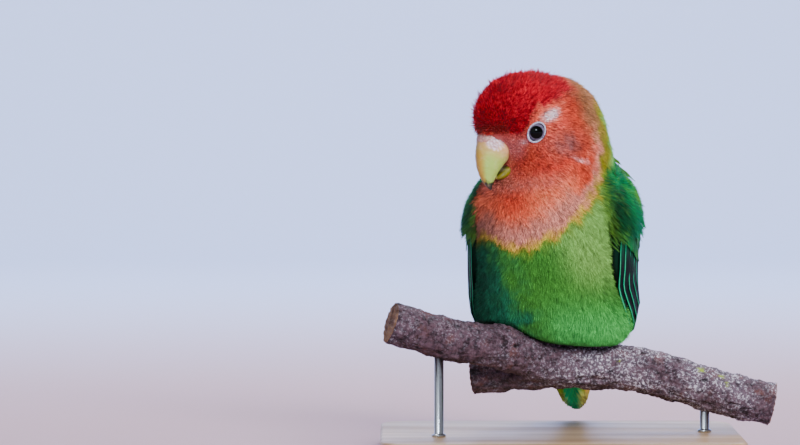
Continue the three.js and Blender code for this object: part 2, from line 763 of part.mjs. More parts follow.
const billLower = (grow = 0) => billSolid(LOWER_TOP, LOWER_UNDER, LOWER_HALF_WIDTH, grow);

function cereSolid(grow = 0) {
  const t = CERE.tilt * DEG;
  return ellipsoid(
    headPoint(CERE.at),
    [
      add(mul(HEAD_H, Math.cos(t)), mul(HEAD_N, Math.sin(t))),
      HEAD_M,
      add(mul(HEAD_H, -Math.sin(t)), mul(HEAD_N, Math.cos(t))),
    ],
    CERE.r.map((v) => v + grow),
    8,
    14,
  );
}
const nostril = (side) =>
  ellipsoid(
    headPoint([NOSTRIL.h, side * NOSTRIL.m, NOSTRIL.n]),
    [HEAD_H, HEAD_M, HEAD_N],
    [NOSTRIL.r, NOSTRIL.r, NOSTRIL.r],
    4,
    8,
  );

function eyeFrame(side) {
  const start = headPoint([EYE_AT[0], 0, EYE_AT[1]]);
  const at = reach(start, mul(HEAD_M, side));
  const out = outward(at);
  const long0 = add(mul(HEAD_H, -Math.cos(LID_TILT)), mul(HEAD_N, Math.sin(LID_TILT)));
  const long = unit(sub(long0, mul(out, dot(long0, out))));
  return { at, out, long, short: cross(out, long) };
}
function eyeSolid(side, grow = 0) {
  const { at, out, long, short } = eyeFrame(side);
  const r = EYE_RADIUS + grow;
  return ellipsoid(sub(at, mul(out, EYE_SINK)), [long, short, out], [r, r, r], 8, 16);
}
function lidSolid(side, grow = 0) {
  const { at, out, long, short } = eyeFrame(side);
  const points = [];
  const faces = [];
  for (let i = 0; i < LID_AROUND; i++) {
    const f = (2 * Math.PI * i) / LID_AROUND;
    const way = add(mul(long, Math.cos(f)), mul(short, Math.sin(f)));
    const mid = add(
      sub(at, mul(out, LID_DEPTH)),
      add(mul(long, LID_LONG * Math.cos(f)), mul(short, LID_SHORT * Math.sin(f))),
    );
    for (let j = 0; j < LID_SIDES; j++) {
      const g = (2 * Math.PI * j) / LID_SIDES;
      const r = LID_THICK + grow;
      points.push(add(mid, add(mul(way, r * Math.cos(g)), mul(out, r * Math.sin(g)))));
      const [p, q] = [i * LID_SIDES, ((i + 1) % LID_AROUND) * LID_SIDES];
      const k = (j + 1) % LID_SIDES;
      faces.push([p + j, q + j, q + k], [p + j, q + k, p + k]);
    }
  }
  return closed(points, faces);
}

// Legs and feet
function legSolid(side, grow = 0) {
  const run = LEG_PATH.map(([a, c, r]) => [...birdPoint([a, LEG_OUT[side], c]), r + grow]);
  return tube(longer(run, grow), LEG_SIDES, LEFT);
}
// A toe bends round the perch: angle from the top of the perch, sideways offset along it
function toeSolid(side, toe, grow = 0) {
  const run = [];
  const towards = Math.sign(toe.to - FOOT_ANGLE);
  for (let i = 0; i <= TOE_RINGS + CLAW_RINGS; i++) {
    const t = Math.min(i / TOE_RINGS, 1);
    const u = Math.max(i - TOE_RINGS, 0) / CLAW_RINGS;
    const angle = (mix(FOOT_ANGLE, toe.to, t) + towards * CLAW_ANGLE * u) * DEG;
    const off = mix(toe.out[0], toe.out[1], t) * side;
    const foot = birdPoint([0, LEG_OUT[side] + off, 0]);
    const [ax, ay, az, ar] = perchAxisAt(foot[0]);
    const along = unit(sub(perchAxisAt(foot[0] + 3), perchAxisAt(foot[0] - 3)));
    const joint = 1 + TOE_JOINTS * Math.cos(t * 3 * 2 * Math.PI);
    const r = u ? mix(...CLAW_RADIUS, u) : toe.thick * joint * mix(...TOE_TAPER, t);
    const out = [0, -Math.sin(angle), Math.cos(angle)];
    const bark = Math.max(ar / Math.sqrt(1 - dot(along, out) ** 2), stubReach([ax, ay, az], out));
    const lift = bark * BARK + GAP + r + (u ? CLAW_LIFT : 0);
    run.push([...add([ax, ay, az], mul(out, lift)), r + grow]);
  }
  return tube(longer(run, grow), TOE_SIDES, [1, 0, 0]);
}
// How far the stub reaches from a point of the perch axis, in one direction
function stubReach(from, way) {
  const list = stations(STUB_AXIS, 200);
  const s = list.reduce((best, q) => (Math.abs(q[0] - from[0]) < Math.abs(best[0] - from[0]) ? q : best));
  const d = [0, s[1] - from[1], s[2] - from[2]];
  const along = dot(d, way);
  const inside = s[3] ** 2 - dot(d, d) + along ** 2;
  return inside > 0 && Math.abs(s[0] - from[0]) < 1 ? along + Math.sqrt(inside) : 0;
}
function footSolid(side, grow = 0) {
  return TOES.map((toe) => toeSolid(side, toe, grow)).reduce((x, y) => x.add(y));
}

// Nodes
const cutAbove = ({ at, n }) => {
  const normal = unit(birdVec(n));
  return [normal, dot(normal, birdPoint(at))];
};
const [headN, headD] = cutAbove(HEAD_CUT);
const [neckN, neckD] = cutAbove(NECK_CUT);
const below = (s, n, d) => s.trimByPlane(mul(n, -1), -d);

const whole = bodyForm();
const half = GAP / 2;
const perchGrown = perchSolid(GAP);

let head = whole.trimByPlane(headN, headD + half);
let neck = below(whole, headN, headD - half).trimByPlane(neckN, neckD + half);
let torso = below(whole, neckN, neckD - half);

const solids = {};
for (const [name, side] of [["left", 1], ["right", -1]]) {
  const cutter = wingPlate(side, GAP);
  torso = torso.subtract(cutter);
  neck = neck.subtract(cutter);
  head = head.subtract(cutter);
  solids["wing_" + name] = Manifold.union([wingPlate(side), ...wingFeathers(side)]);
  solids["foot_" + name] = footSolid(side);
  const footGrown = footSolid(side, GAP);
  solids["leg_" + name] = legSolid(side)
    .subtract(footGrown)
    .subtract(perchGrown)
    .subtract(cutter);
  torso = torso.subtract(footGrown).subtract(legSolid(side, GAP));
  solids["eye_" + name] = eyeSolid(side);
  solids["eyelids_" + name] = lidSolid(side).subtract(eyeSolid(side, GAP));
  head = head.subtract(eyeSolid(side, GAP)).subtract(lidSolid(side, GAP));
}
const tailPlaces = Array.from({ length: TAIL_VANES }, (_, i) => i - (TAIL_VANES - 1) / 2);
solids.tail = Manifold.union([tailPlain(), ...tailPlaces.map(tailVane)]);
torso = torso.subtract(tailPlain(GAP)).subtract(perchGrown);

const lowerGrown = billLower(GAP);
solids.bill_upper = billUpper().subtract(lowerGrown);
solids.bill_lower = billLower();
solids.cere = cereSolid().subtract(billUpper(GAP)).subtract(nostril(1)).subtract(nostril(-1));
head = head.subtract(billUpper(GAP)).subtract(lowerGrown).subtract(cereSolid(GAP));

solids.head = head;
solids.neck = neck;
solids.torso = torso;
solids.perch = perchSolid().subtract(rod(ROD_LEFT_X, GAP)).subtract(rod(ROD_RIGHT_X, GAP));
solids.stand_rod_left = rod(ROD_LEFT_X);
solids.stand_rod_right = rod(ROD_RIGHT_X);
solids.stand_base = baseSolid()
  .subtract(rod(ROD_LEFT_X, GAP))
  .subtract(rod(ROD_RIGHT_X, GAP));

// The largest body of a solid, so that no crumb of a cut is left
const largest = (s) => s.decompose().sort((a, b) => b.volume() - a.volume())[0];

// Colour, roughness and metalness
const LOOKS = {
  head: [0xb03030, 0.85, 0],
  neck: [0xd07060, 0.85, 0],
  torso: [0x4f9a3c, 0.85, 0],
  wing: [0x0f7a45, 0.75, 0],
  tail: [0x2f8a48, 0.75, 0],
  leg: [0x3f8a35, 0.85, 0],
  foot: [0x8d8f94, 0.6, 0],
  bill: [0xd8cf9a, 0.35, 0],
  cere: [0xe4d2c6, 0.6, 0],
  eye: [0x1a1012, 0.12, 0],
  eyelids: [0xe9e4de, 0.6, 0],
  perch: [0x4d3b3d, 0.9, 0],
  stand_base: [0xb9a98f, 0.55, 0],
  stand_rod: [0xb8bcc0, 0.3, 1],
};

const group = new THREE.Group();
for (const [name, s] of Object.entries(solids)) {
  const body = largest(s);
  const m = body.getMesh();
  const v = new Float32Array(m.numVert * 3);
  for (let i = 0; i < m.numVert; i++)
    v.set(m.vertProperties.subarray(i * m.numProp, i * m.numProp + 3), i * 3);
  const g = new THREE.BufferGeometry()
    .setAttribute("position", new THREE.BufferAttribute(v, 3))
    .setIndex(new THREE.BufferAttribute(m.triVerts, 1));
  g.computeVertexNormals();
  const key = Object.keys(LOOKS).find((k) => name.startsWith(k));
  const [color, roughness, metalness] = LOOKS[key];
  const mesh = new THREE.Mesh(
    g,
    new THREE.MeshStandardMaterial({ color, roughness, metalness, flatShading: true }),
  );
  mesh.name = name;
  group.add(mesh);
}

export default group;
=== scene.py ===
import math

import bmesh
import bpy
import numpy as np
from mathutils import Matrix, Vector


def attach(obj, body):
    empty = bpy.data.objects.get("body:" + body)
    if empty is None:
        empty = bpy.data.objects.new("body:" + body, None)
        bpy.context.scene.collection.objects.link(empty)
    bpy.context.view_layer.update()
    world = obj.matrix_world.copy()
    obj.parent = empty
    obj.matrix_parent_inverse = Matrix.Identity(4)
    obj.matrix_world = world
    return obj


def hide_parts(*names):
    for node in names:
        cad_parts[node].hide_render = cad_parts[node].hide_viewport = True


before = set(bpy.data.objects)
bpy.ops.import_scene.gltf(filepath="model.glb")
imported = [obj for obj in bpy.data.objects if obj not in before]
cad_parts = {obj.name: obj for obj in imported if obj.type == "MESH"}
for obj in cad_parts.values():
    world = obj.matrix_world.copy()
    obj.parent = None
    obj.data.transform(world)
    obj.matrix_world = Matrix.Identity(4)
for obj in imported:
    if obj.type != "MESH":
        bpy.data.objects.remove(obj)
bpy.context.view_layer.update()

# A peach faced lovebird on a cut length of branch over a plain stand.
# Sizes are in millimetres in the frame of the part: +Z up, the bird faces -Y, its left side at +X.
# put_mesh() turns them into metres. Colours are written as they look on a screen.
MM = 0.001
DEG = math.pi / 180
SIDE_NAMES = {1: "left", -1: "right"}
ACROSS = np.array([1.0, 0, 0])


# Small helpers, all on whole arrays.

def unit(v):
    return v / np.maximum(np.linalg.norm(v, axis=-1, keepdims=True), 1e-9)


def mix(a, b, t):
    return a + (b - a) * t


def smooth(x, low, high):
    """0 under low, 1 over high, and an S-shaped rise between them."""
    t = np.clip((x - low) / (high - low), 0, 1)
    return t * t * (3 - 2 * t)


def fall(x, low, high):
    """1 under low, 0 over high, and an S-shaped fall between them."""
    return 1 - smooth(x, low, high)


def hill(*terms):
    """1 where each value of the (value, place, reach) terms is at its place, a bell shape around it."""
    return np.exp(-sum(((x - at) / reach) ** 2 for x, at, reach in terms))


def dot(a, b):
    return np.sum(a * b, axis=-1, keepdims=True)


def length_of(v):
    return np.linalg.norm(v, axis=-1)


def round_angles(count):
    return np.linspace(0, 2 * math.pi, count, endpoint=False)


def through(points, t):
    """Smooth curve through a list of points, t from 0 to 1 over the whole list."""
    p = np.asarray(points, float)
    if p.ndim == 1:
        p = p[:, None]
    last = len(p) - 1
    x = np.clip(t, 0, 1) * last
    i = np.minimum(x.astype(int), last - 1)
    u = (x - i)[..., None]
    p0, p1, p2, p3 = (p[np.clip(i + k, 0, last)] for k in (-1, 0, 1, 2))
    return p1 + 0.5 * u * (p2 - p0 + u * (2 * p0 - 5 * p1 + 4 * p2 - p3 + u * (3 * (p1 - p2) + p3 - p0)))


def sample(values, t):
    return through(values, np.asarray(t, float))[..., 0]


def bezier(points, t):
    """Bezier curve of a list of control points."""
    p = [np.asarray(q, float) for q in points]
    t = np.asarray(t, float)[..., None]
    while len(p) > 1:
        p = [mix(a, b, t) for a, b in zip(p, p[1:])]
    return p[0]


def waves(p, size, seed, octaves=3):
    """Soft noise of about -1 to 1: sums of crossed sine waves, each octave half the size of the last."""
    r = np.random.default_rng(seed)
    total, part = 0.0, 1.0
    for _ in range(octaves):
        ways = unit(r.normal(size=(6, 3))) * 2 * math.pi / size
        phases = r.uniform(0, 2 * math.pi, 6)
        total = total + part * np.sum(np.sin(p @ ways.T + phases), axis=-1) / 3
        size, part = size / 2.1, part * 0.55
    return total


def linear(colour):
    """Screen colour to linear light."""
    return np.asarray(colour, float) ** 2.2


def paint(colour, layers):
    """The colour under (screen colour, share) layers, each over the ones before it."""
    for new, part in layers:
        colour = mix(colour, np.asarray(new, float), part[..., None])
    return colour


# Frames: of the bird (forwards, to its left, up), of its head (along the bill, left, up) and of
# its bill, which is the head's frame without the pitch.
BIRD_TURN = 13 * DEG
BIRD_AT = np.array([-3, 0, 36.8])
FWD = np.array([-math.sin(BIRD_TURN), -math.cos(BIRD_TURN), 0])
LEFT = np.array([math.cos(BIRD_TURN), -math.sin(BIRD_TURN), 0])
UP = np.array([0, 0, 1.0])
BIRD_AXES = np.array([FWD, LEFT, UP])

HEAD_TURN = 67 * DEG
HEAD_PITCH = 10 * DEG
HEAD_AT = np.array([-7.4, -8, 111.2])
HEAD_OUT = np.array([-math.sin(HEAD_TURN), -math.cos(HEAD_TURN), 0])
HEAD_M = np.array([math.cos(HEAD_TURN), -math.sin(HEAD_TURN), 0])
HEAD_H = HEAD_OUT * math.cos(HEAD_PITCH) - UP * math.sin(HEAD_PITCH)
HEAD_N = HEAD_OUT * math.sin(HEAD_PITCH) + UP * math.cos(HEAD_PITCH)
HEAD_AXES = np.array([HEAD_H, HEAD_M, HEAD_N])
BILL_AXES = np.array([HEAD_OUT, HEAD_M, UP])


def bird_point(p):
    return BIRD_AT + np.asarray(p, float) @ BIRD_AXES


def head_point(p):
    return HEAD_AT + np.asarray(p, float) @ HEAD_AXES


def bill_point(p):
    return HEAD_AT + np.asarray(p, float) @ BILL_AXES


def in_bird(p):
    return (p - BIRD_AT) @ BIRD_AXES.T


def in_head(p):
    return (p - HEAD_AT) @ HEAD_AXES.T


def in_bill(p):
    return (p - HEAD_AT) @ BILL_AXES.T


# Plumage form: the outline of the whole fluffed coat, as softly joined ellipsoids. Each row has a
# place, three half sizes, and a tilt in degrees in the frame of the bird or of its head.
BLEND = 2.4
BODY_FORMS = [
    [1, 0, 27, 30, 26.6, 23.0, 76],  # belly
    [4, 0, 43, 23, 25.6, 23.2, 68],  # breast
    [-15, -0.5, 35, 34, 22.5, 19.5, 60],  # back
    [0, 0, 57, 18, 20.5, 18, 75],  # neck base
    [-33, -2, 9, 24, 13.5, 10.5, 57],  # rump and vent
    [0.5, 15.2, 12.4, 15, 13.8, 14.6, 84],  # left thigh and flank
    [0, -13, 13.5, 15, 13.6, 14.6, 84],  # right thigh and flank
]
HEAD_FORMS = [
    [-4, 0, 0.6, 18, 16.5, 17.4, 0],  # skull and crown
    [-4.5, 0, -5, 15.4, 16.5, 14, 0],  # cheeks
    [8.6, 0, 8.6, 14.6, 12, 11.3, -20],  # forehead
    [-6.5, 0, -12, 15.5, 17.5, 15, 20],  # throat and nape
]


def form_axes(axes, tilt):
    c, s = math.cos(tilt * DEG), math.sin(tilt * DEG)
    return np.array([axes[0] * c + axes[2] * s, axes[1], axes[2] * c - axes[0] * s])


FORMS = [(bird_point(f[:3]), form_axes(BIRD_AXES, f[6]), np.array(f[3:6])) for f in BODY_FORMS]
FORMS += [(head_point(f[:3]), form_axes(HEAD_AXES, f[6]), np.array(f[3:6])) for f in HEAD_FORMS]


def form(p):
    """Near-distance to the plumage form, under zero inside it: a soft minimum over the ellipsoids."""
    total = 0.0
    for at, axes, r in FORMS:
        q = (p - at) @ axes.T / r
        k0 = np.maximum(length_of(q), 1e-6)
        k1 = np.maximum(length_of(q / r), 1e-6)
        total = total + np.exp(-k0 * (k0 - 1) / k1 / BLEND)
    return -BLEND * np.log(np.maximum(total, 1e-300))


def outward(p):
    """Direction in which the form's distance grows."""
    step = 0.05
    f = form(p)
    return unit(np.stack([form(p + step * np.eye(3)[d]) - f for d in range(3)], axis=-1))


def reach_level(start, way, level, most, rounds):
    """Distance from places inside the form, each along its way, to a level of it, by halving."""
    near = np.zeros(way.shape[:-1])
    far = near + most
    for _ in range(rounds):
        mid = (near + far) / 2
        inside = form(start + way * mid[..., None]) < level
        near, far = np.where(inside, mid, near), np.where(inside, far, mid)
    return near


SPINE = [[-33, -2, 8], [-2, 0, 44], [7, -1.5, 78]]


def body_points(v, f, level):
    """Points of a level of the form: rays square to a bent spine for v from 0 to 1, swung round
    towards the tail for v from 0 to -1 and towards the crown for v from 1 to 2; f goes round."""
    s = np.clip(v, 0, 1)
    at = bezier(SPINE, s)
    along = unit(bezier(SPINE, np.minimum(s + 0.01, 1)) - bezier(SPINE, np.maximum(s - 0.01, 0)))
    over = -unit(np.cross(along, [0, 1, 0]))
    side = np.cross(over, along)
    lift = ((v - s) * 90 * DEG)[..., None]
    flat = over * np.cos(f)[..., None] + side * np.sin(f)[..., None]
    way = unit((flat * np.cos(lift) + along * np.sin(lift)) @ BIRD_AXES)
    start = BIRD_AT + at @ BIRD_AXES
    return start + way * reach_level(start, way, level, 70.0, 22)[..., None]


# Meshes.

def link(name, data):
    """A new object of this data in the scene."""
    thing = bpy.data.objects.new(name, data)
    bpy.context.scene.collection.objects.link(thing)
    return thing


def put_mesh(name, verts, faces, colours=None, uv=None, extra=None):
    """A mesh from whole arrays: verts in millimetres, faces as equal rows of corner numbers."""
    mesh = bpy.data.meshes.new(name)
    verts = np.asarray(verts, np.float32).reshape(-1, 3) * MM
    faces = np.asarray(faces, np.int32)
    sides = faces.shape[1]
    mesh.vertices.add(len(verts))
    mesh.vertices.foreach_set("co", verts.ravel())
    mesh.loops.add(faces.size)
    mesh.loops.foreach_set("vertex_index", faces.ravel())
    mesh.polygons.add(len(faces))
    mesh.polygons.foreach_set("loop_start", np.arange(0, faces.size, sides, dtype=np.int32))
    mesh.polygons.foreach_set("use_smooth", np.full(len(faces), True))
    mesh.update(calc_edges=True)
    if colours is not None:
        layer = mesh.attributes.new("plumage", "FLOAT_COLOR", "POINT")
        rgba = np.ones((len(verts), 4), np.float32)
        rgba[:, :3] = np.asarray(colours, np.float32).reshape(-1, 3)
        layer.data.foreach_set("color", rgba.ravel())
    for key, values in (extra or {}).items():
        layer = mesh.attributes.new(key, "FLOAT", "POINT")
        layer.data.foreach_set("value", np.asarray(values, np.float32).ravel())
    if uv is not None:
        layer = mesh.uv_layers.new(name="OFBake")
        corners = np.asarray(uv, np.float32).reshape(-1, 2)[faces.ravel()]
        layer.uv.foreach_set("vector", corners.ravel())
    mesh.validate()
    piece = link(name, mesh)
    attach(piece, "root")
    return piece


def grid_faces(rows, cols, around=True, flip=False):
    """Four-cornered faces of a grid of rows x cols points, closed round the columns or open."""
    i = np.arange(rows - 1)[:, None]
    j = np.arange(cols if around else cols - 1)[None, :]
    k = (j + 1) % cols
    corners = [i * cols + j, i * cols + k, (i + 1) * cols + k, (i + 1) * cols + j]
    f = np.stack(corners, axis=-1).reshape(-1, 4)
    return f[:, ::-1] if flip else f


def put_grid(name, grid, flip=False, **more):
    """A piece from rings of points."""
    return put_mesh(name, grid, grid_faces(grid.shape[0], grid.shape[1], flip=flip), **more)


def turn_out(piece):
    """Merges the points drawn together at poles and turns all faces outwards."""
    work = bmesh.new()
    work.from_mesh(piece.data)
    bmesh.ops.remove_doubles(work, verts=work.verts, dist=2e-6)
    bmesh.ops.recalc_face_normals(work, faces=work.faces)
    work.to_mesh(piece.data)
    work.free()
    piece.data.shade_smooth()
    return piece


def capped(grid):
    """A tube grid closed at both ends by a ring drawn in to its middle."""
    first = grid[:1].mean(axis=1, keepdims=True) + 0 * grid[:1]
    last = grid[-1:].mean(axis=1, keepdims=True) + 0 * grid[-1:]
    return np.concatenate([first, grid, last])


def with_ends(colours):
    """Colours of a capped grid."""
    return linear(np.clip(np.concatenate([colours[:1], colours, colours[-1:]]), 0, 1))


def tube(path, radius, sides, ref, shape=1):
    """Rings square to a path, turned by a reference direction, so that they never twist."""
    along = unit(np.gradient(path, axis=0))
    side = unit(ref - along * dot(along, ref))
    over = np.cross(side, along)
    f = round_angles(sides)[None, :, None]
    r = np.asarray(radius, float)[:, None] * shape
    return path[:, None] + r[..., None] * (side[:, None] * np.cos(f) + over[:, None] * np.sin(f))


def ellipsoid(at, axes, radii, rows, sides):
    e = np.linspace(-90, 90, rows)[:, None] * DEG
    f = round_angles(sides)
    ball = np.stack([np.cos(e) * np.cos(f), np.cos(e) * np.sin(f), np.sin(e) + 0 * f], axis=-1)
    return at + (ball * radii) @ axes


# Colours of the plumage, its marks and the painted shade over the bird's right side, the same for skin and
# coat.
CROWN_RED = [0.74, 0.01, 0.16]
CROWN_SPARK = [0.95, 0.26, 0.24]
CHEEK_RED = [0.84, 0.33, 0.28]
HIND_RED = [0.66, 0.23, 0.16]
LORE_PINK = [0.94, 0.56, 0.54]
THROAT = [1.0, 0.46, 0.33]
THROAT_DEEP = [0.80, 0.22, 0.15]
BAND_RED = [0.76, 0.22, 0.15]
JAW_PINK = [0.87, 0.45, 0.41]
BROW_BROWN = [0.60, 0.20, 0.14]
BIB_LOW = [0.80, 0.52, 0.46]
EAR_GREY = [0.52, 0.34, 0.34]
NAPE_TAN = [0.53, 0.36, 0.24]
PALE_PATCH = [0.94, 0.84, 0.90]
RIM_GOLD = [0.80, 0.63, 0.26]
OLIVE = [0.52, 0.56, 0.16]
NAPE_OLIVE = [0.49, 0.48, 0.13]
LEAF = [0.46, 0.66, 0.33]
GREEN = [0.25, 0.50, 0.20]
TEAL = [0.13, 0.43, 0.33]
BRIGHT = [0.29, 0.71, 0.36]
BACK_GREEN = [0.16, 0.46, 0.17]
RUMP_BLUE = [0.10, 0.32, 0.72]

BIB_AT = np.array([14, 0, -8.0])
BIB_REACH = 33.0
RED_EDGE_H = [-9, -4, 2, 5.2, 8.4, 11.5, 18, 24]
RED_EDGE_N = [13.5, 11, 10, 9.6, 6.5, 1.0, 2.6, 3.5]
# Share by which painted shade darkens the front of the bird's right side below the head.
FAR_SIDE_SHADE = 0.26


def bib_distance(h, m, n):
    """How far past the lower edge of the pink bib a place in the head frame lies."""
    d = np.sqrt((h - BIB_AT[0]) ** 2 + m**2 + (n - BIB_AT[2]) ** 2)
    return d - BIB_REACH + 6 * hill((m, 0, 9)) * smooth(-n, 12, 22)


def over_red_edge(h, n):
    """Height over the lower edge of the red crown."""
    return n - np.interp(h, RED_EDGE_H, RED_EDGE_N)


def markings_and_shade(p):
    """Screen colours of the plumage and painted shade: zones in the head and bird frames with soft,
    noisy edges. First come the greens, whose teal low on the bird's right side is partly painted shade,
    then the bib, face and nape, then painted shade over the bird's right front below the head, and last
    the crown and the pale marks."""
    hp, bp = in_head(p), in_bird(p)
    h, m, n = hp[..., 0], np.abs(hp[..., 1]), hp[..., 2]
    a, b, c = bp[..., 0], bp[..., 1], bp[..., 2]
    ragged = 0.9 * waves(p, 5.0, 1)
    back, front = smooth(-h, 2, 12), smooth(a, -14, 6)
    bib = bib_distance(h, m, n) + ragged - back * (1.0 * smooth(n, -16, -4) + 3.9 * smooth(n, -1, 11))
    edge = bib / mix(0.42, 1, smooth(h, -6, 4))
    # dark grows low on the bird's right side; the teal laid there is partly the plumage's own colour and
    # partly painted shade.
    dark = -b - 0.25 * (c - 20) + 4 * waves(p, 8, 5)
    colour = paint(np.zeros(p.shape) + BACK_GREEN, [
        (GREEN, front),
        (LEAF, front * smooth(b + 0.35 * (c - 30), 2, 17) * smooth(c, 12, 30)),
        (LEAF, front * smooth(c, 30, 44) * 0.6),
        (TEAL, smooth(dark, 1, 18) * fall(c, 32, 46) * 0.95),
        (BRIGHT, front * smooth(-c, -22, -6) * smooth(b, -6, 8) * 0.75),
        (RUMP_BLUE, smooth(-a, 22, 34) * smooth(c, 6, 16) * fall(c, 34, 42)),
        (OLIVE, fall(bib, 0.8, 3.6) * 0.6),
        (RIM_GOLD, fall(bib, 0.2, 1.6) * 0.85),
        (NAPE_OLIVE, fall(bib, 0.5, 3.0) * back * 0.95),
    ])
    deep = hill((p[..., 0], -17, 6.0), (p[..., 2], 88, 6.5)) * smooth(-b, -4, 2) * front
    jaw = hill((n, -16.5, 2.4)) * smooth(h, -2, 6)
    band = hill((n - 0.15 * h, -10.5, 3.6)) * smooth(h, -13, -5) * fall(h, 11, 14)
    ear = hill((h, -1.5, 5.5), (n, -5, 4.2)) * smooth(m, 6, 12)
    colour = paint(colour, [
        (BIB_LOW, fall(bib, -2.0, 0.6)),
        (THROAT, fall(edge, -11, -3.5) * (1 - 0.3 * smooth(-h, 8, 17))),
        (CHEEK_RED, smooth(n, -21, -11) * fall(edge, -12, -5) * (0.75 + 0.25 * waves(p, 7, 2))),
        (THROAT_DEEP, deep * 0.75),
        (JAW_PINK, jaw * (0.6 + 0.25 * waves(p, 2.0, 8))),
        (BAND_RED, band * (0.6 + 0.25 * waves(p, 5.0, 9))),
        (HIND_RED, smooth(-h, -1, 7) * fall(bib, -5, -1.5) * 0.85),
        (NAPE_TAN, smooth(-h, 6, 13) * smooth(n, -10, 3) * fall(bib, -2, 1) * 0.9),
        (EAR_GREY, ear * (0.75 + 0.25 * waves(p, 2.5, 3))),
        (LORE_PINK, smooth(h, 9.5, 13) * smooth(n, -10, -4) * 0.95),
        (BIB_LOW, smooth(h, 13, 17) * smooth(-n, 4, 9) * smooth(n, -19, -12) * 0.6),
    ])
    # Painted shade: the front of the bird's right side below the head is darkened as if in shadow.
    shaded = smooth(-p[..., 0], 16, 27) * front * fall(c, 56, 66)
    colour = colour * (1 - FAR_SIDE_SHADE * shaded)[..., None]
    over = over_red_edge(h, n)
    pale = np.exp(-(((h - 1.8) / 3.5) ** 2 + ((n - 5.8 + 0.25 * (h - 1.8)) / 2.1) ** 2) ** 2)
    wedge = hill((h, 11.2, 1.2), (n, -1.8, 0.8)) * smooth(m, 5, 8)
    streak = hill((h, -5.5, 3.2), (n - 0.5 * h, -8.5, 0.9))
    light = np.clip((pale + 0.6 * streak) * smooth(m, 8, 12) + 0.8 * wedge, 0, 1)
    return np.clip(paint(colour, [
        (CHEEK_RED, smooth(over, -4, 0) * smooth(h, -14, -9) * fall(bib, -5, -1) * 0.7),
        (CROWN_RED, smooth(over + 0.9 * ragged, -0.7, 1.1) * smooth(h + 0.5 * ragged, -11, -6.5)),
        (BROW_BROWN, smooth(h, 13.5, 17.5) * smooth(n, 1.5, 3) * fall(n, 4.5, 8) * 0.7),
        (PALE_PATCH, light * np.clip(0.85 + 0.35 * waves(p, 1.6, 4), 0, 1)),
    ]), 0, 1)


# Eyes, bill and wings, as places that the coat keeps clear of.
EYE_AT = [7.6, 1.0]
EYE_RADIUS = 3.9
EYE_SINK = 2.72
LID_LONG = 3.55
LID_SHORT = 2.6
LID_ROUND = 0.24
LID_TILT = 44 * DEG


def eye_frame(side):
    """Centre of the lids on the form, the way out, and the long and short way of the opening."""
    way = HEAD_M * side
    start = head_point([EYE_AT[0], 0, EYE_AT[1]])
    at = start + way * reach_level(start, way, 0, 40.0, 40)
    out = outward(at)
    long = -HEAD_H * math.cos(LID_TILT) + HEAD_N * math.sin(LID_TILT)
    long = unit(long - out * dot(long, out))
    return at, out, long, np.cross(out, long)


EYES = {"left": eye_frame(1), "right": eye_frame(-1)}


def lid_reach(d, long, short, wider):
    """Distance from the middle of an eye's opening, in parts of the lids' oval."""
    return np.sqrt((d @ long / (LID_LONG + wider)) ** 2 + (d @ short / (LID_SHORT + wider)) ** 2)


def eye_reach(p):
    """Distance from the nearer eye, in parts of the rim of its lids."""
    nearest = np.full(p.shape[:-1], 99.0)
    for at, out, long, short in EYES.values():
        r = lid_reach(p - at, long, short, LID_ROUND)
        nearest = np.minimum(nearest, np.where(np.abs((p - at) @ out) < 6, r, 99))
    return nearest


# Each half of the bill: its upper and its lower line in the bill frame (forwards, up), and its
# half widths from base to tip.
RIDGE = [[20.0, 2.6], [25.2, -4], [25.2, -15.5], [18.4, -20.2]]
CUTTING = [[7, -5], [12, -9.5], [17, -14], [18.0, -19.6]]
UPPER_HALF = [6.0, 5.9, 5.5, 4.9, 4.2, 3.4, 2.5, 1.6, 0.5]
LOWER_TOP = [[7, -9.5], [12, -10.2], [15.4, -13], [16.6, -15.6]]
LOWER_UNDER = [[7, -11], [10, -15.0], [14.5, -17.8], [16.8, -16.4]]
LOWER_HALF = [1.4, 2.0, 2.8, 3.3, 3.2, 2.4, 0.7]
BILL_HALVES = {"upper": (RIDGE, CUTTING, UPPER_HALF), "lower": (LOWER_TOP, LOWER_UNDER, LOWER_HALF)}
NOSTRIL_AT = np.array([18.0, 5.3, -2.2])
NOSTRIL_ROOM = 1.9


def bill_grid(half, rows, sides, grow=0.0):
    """Oval rings between the two lines of one half of the bill, a little flat-sided."""
    top, under, widths = BILL_HALVES[half]
    t = np.linspace(0, 1, rows)
    p, q = bezier(top, t), bezier(under, t)
    mid, d = (p + q) / 2, (p - q) / 2
    span = np.maximum(length_of(d), 0.45)
    k = (span + grow) / np.maximum(length_of(d), 1e-3)
    w = sample(widths, t) + grow
    f = round_angles(sides)
    c = np.cos(f) * k[:, None]
    place = [mid[:, :1] + d[:, :1] * c, w[:, None] * np.sin(f), mid[:, 1:] + d[:, 1:] * c]
    return bill_point(np.stack(place, axis=-1))


CERE_AT = [19.6, 0, 1.8]
CERE_R = np.array([4.2, 4.7, 2.5])
CERE_TILT = -35


def cere_distance(p):
    q = (p - head_point(CERE_AT)) @ form_axes(HEAD_AXES, CERE_TILT).T / CERE_R
    return (length_of(q) - 1) * 3.5


def near_bill(p, room):
    """Whether places lie inside the bill or within some room of it."""
    hit = (cere_distance(p) < room) & (in_head(p)[:, 2] < 2.2)
    for half in BILL_HALVES:
        rings = bill_grid(half, 24, 20, room)
        middle = rings.mean(axis=1)
        close = np.where(length_of(p - middle.mean(axis=0)) < 22)[0]
        q = p[close]
        ring = np.argmin(length_of(q[:, None] - middle[None]), axis=1)
        d = q - middle[ring]
        spoke = rings[ring] - middle[ring][:, None]
        which = np.argmax(np.sum(unit(spoke) * unit(d)[:, None], axis=-1), axis=1)
        reach = length_of(spoke[np.arange(len(q)), which])
        hit[close[length_of(d) < reach]] = True
    return hit


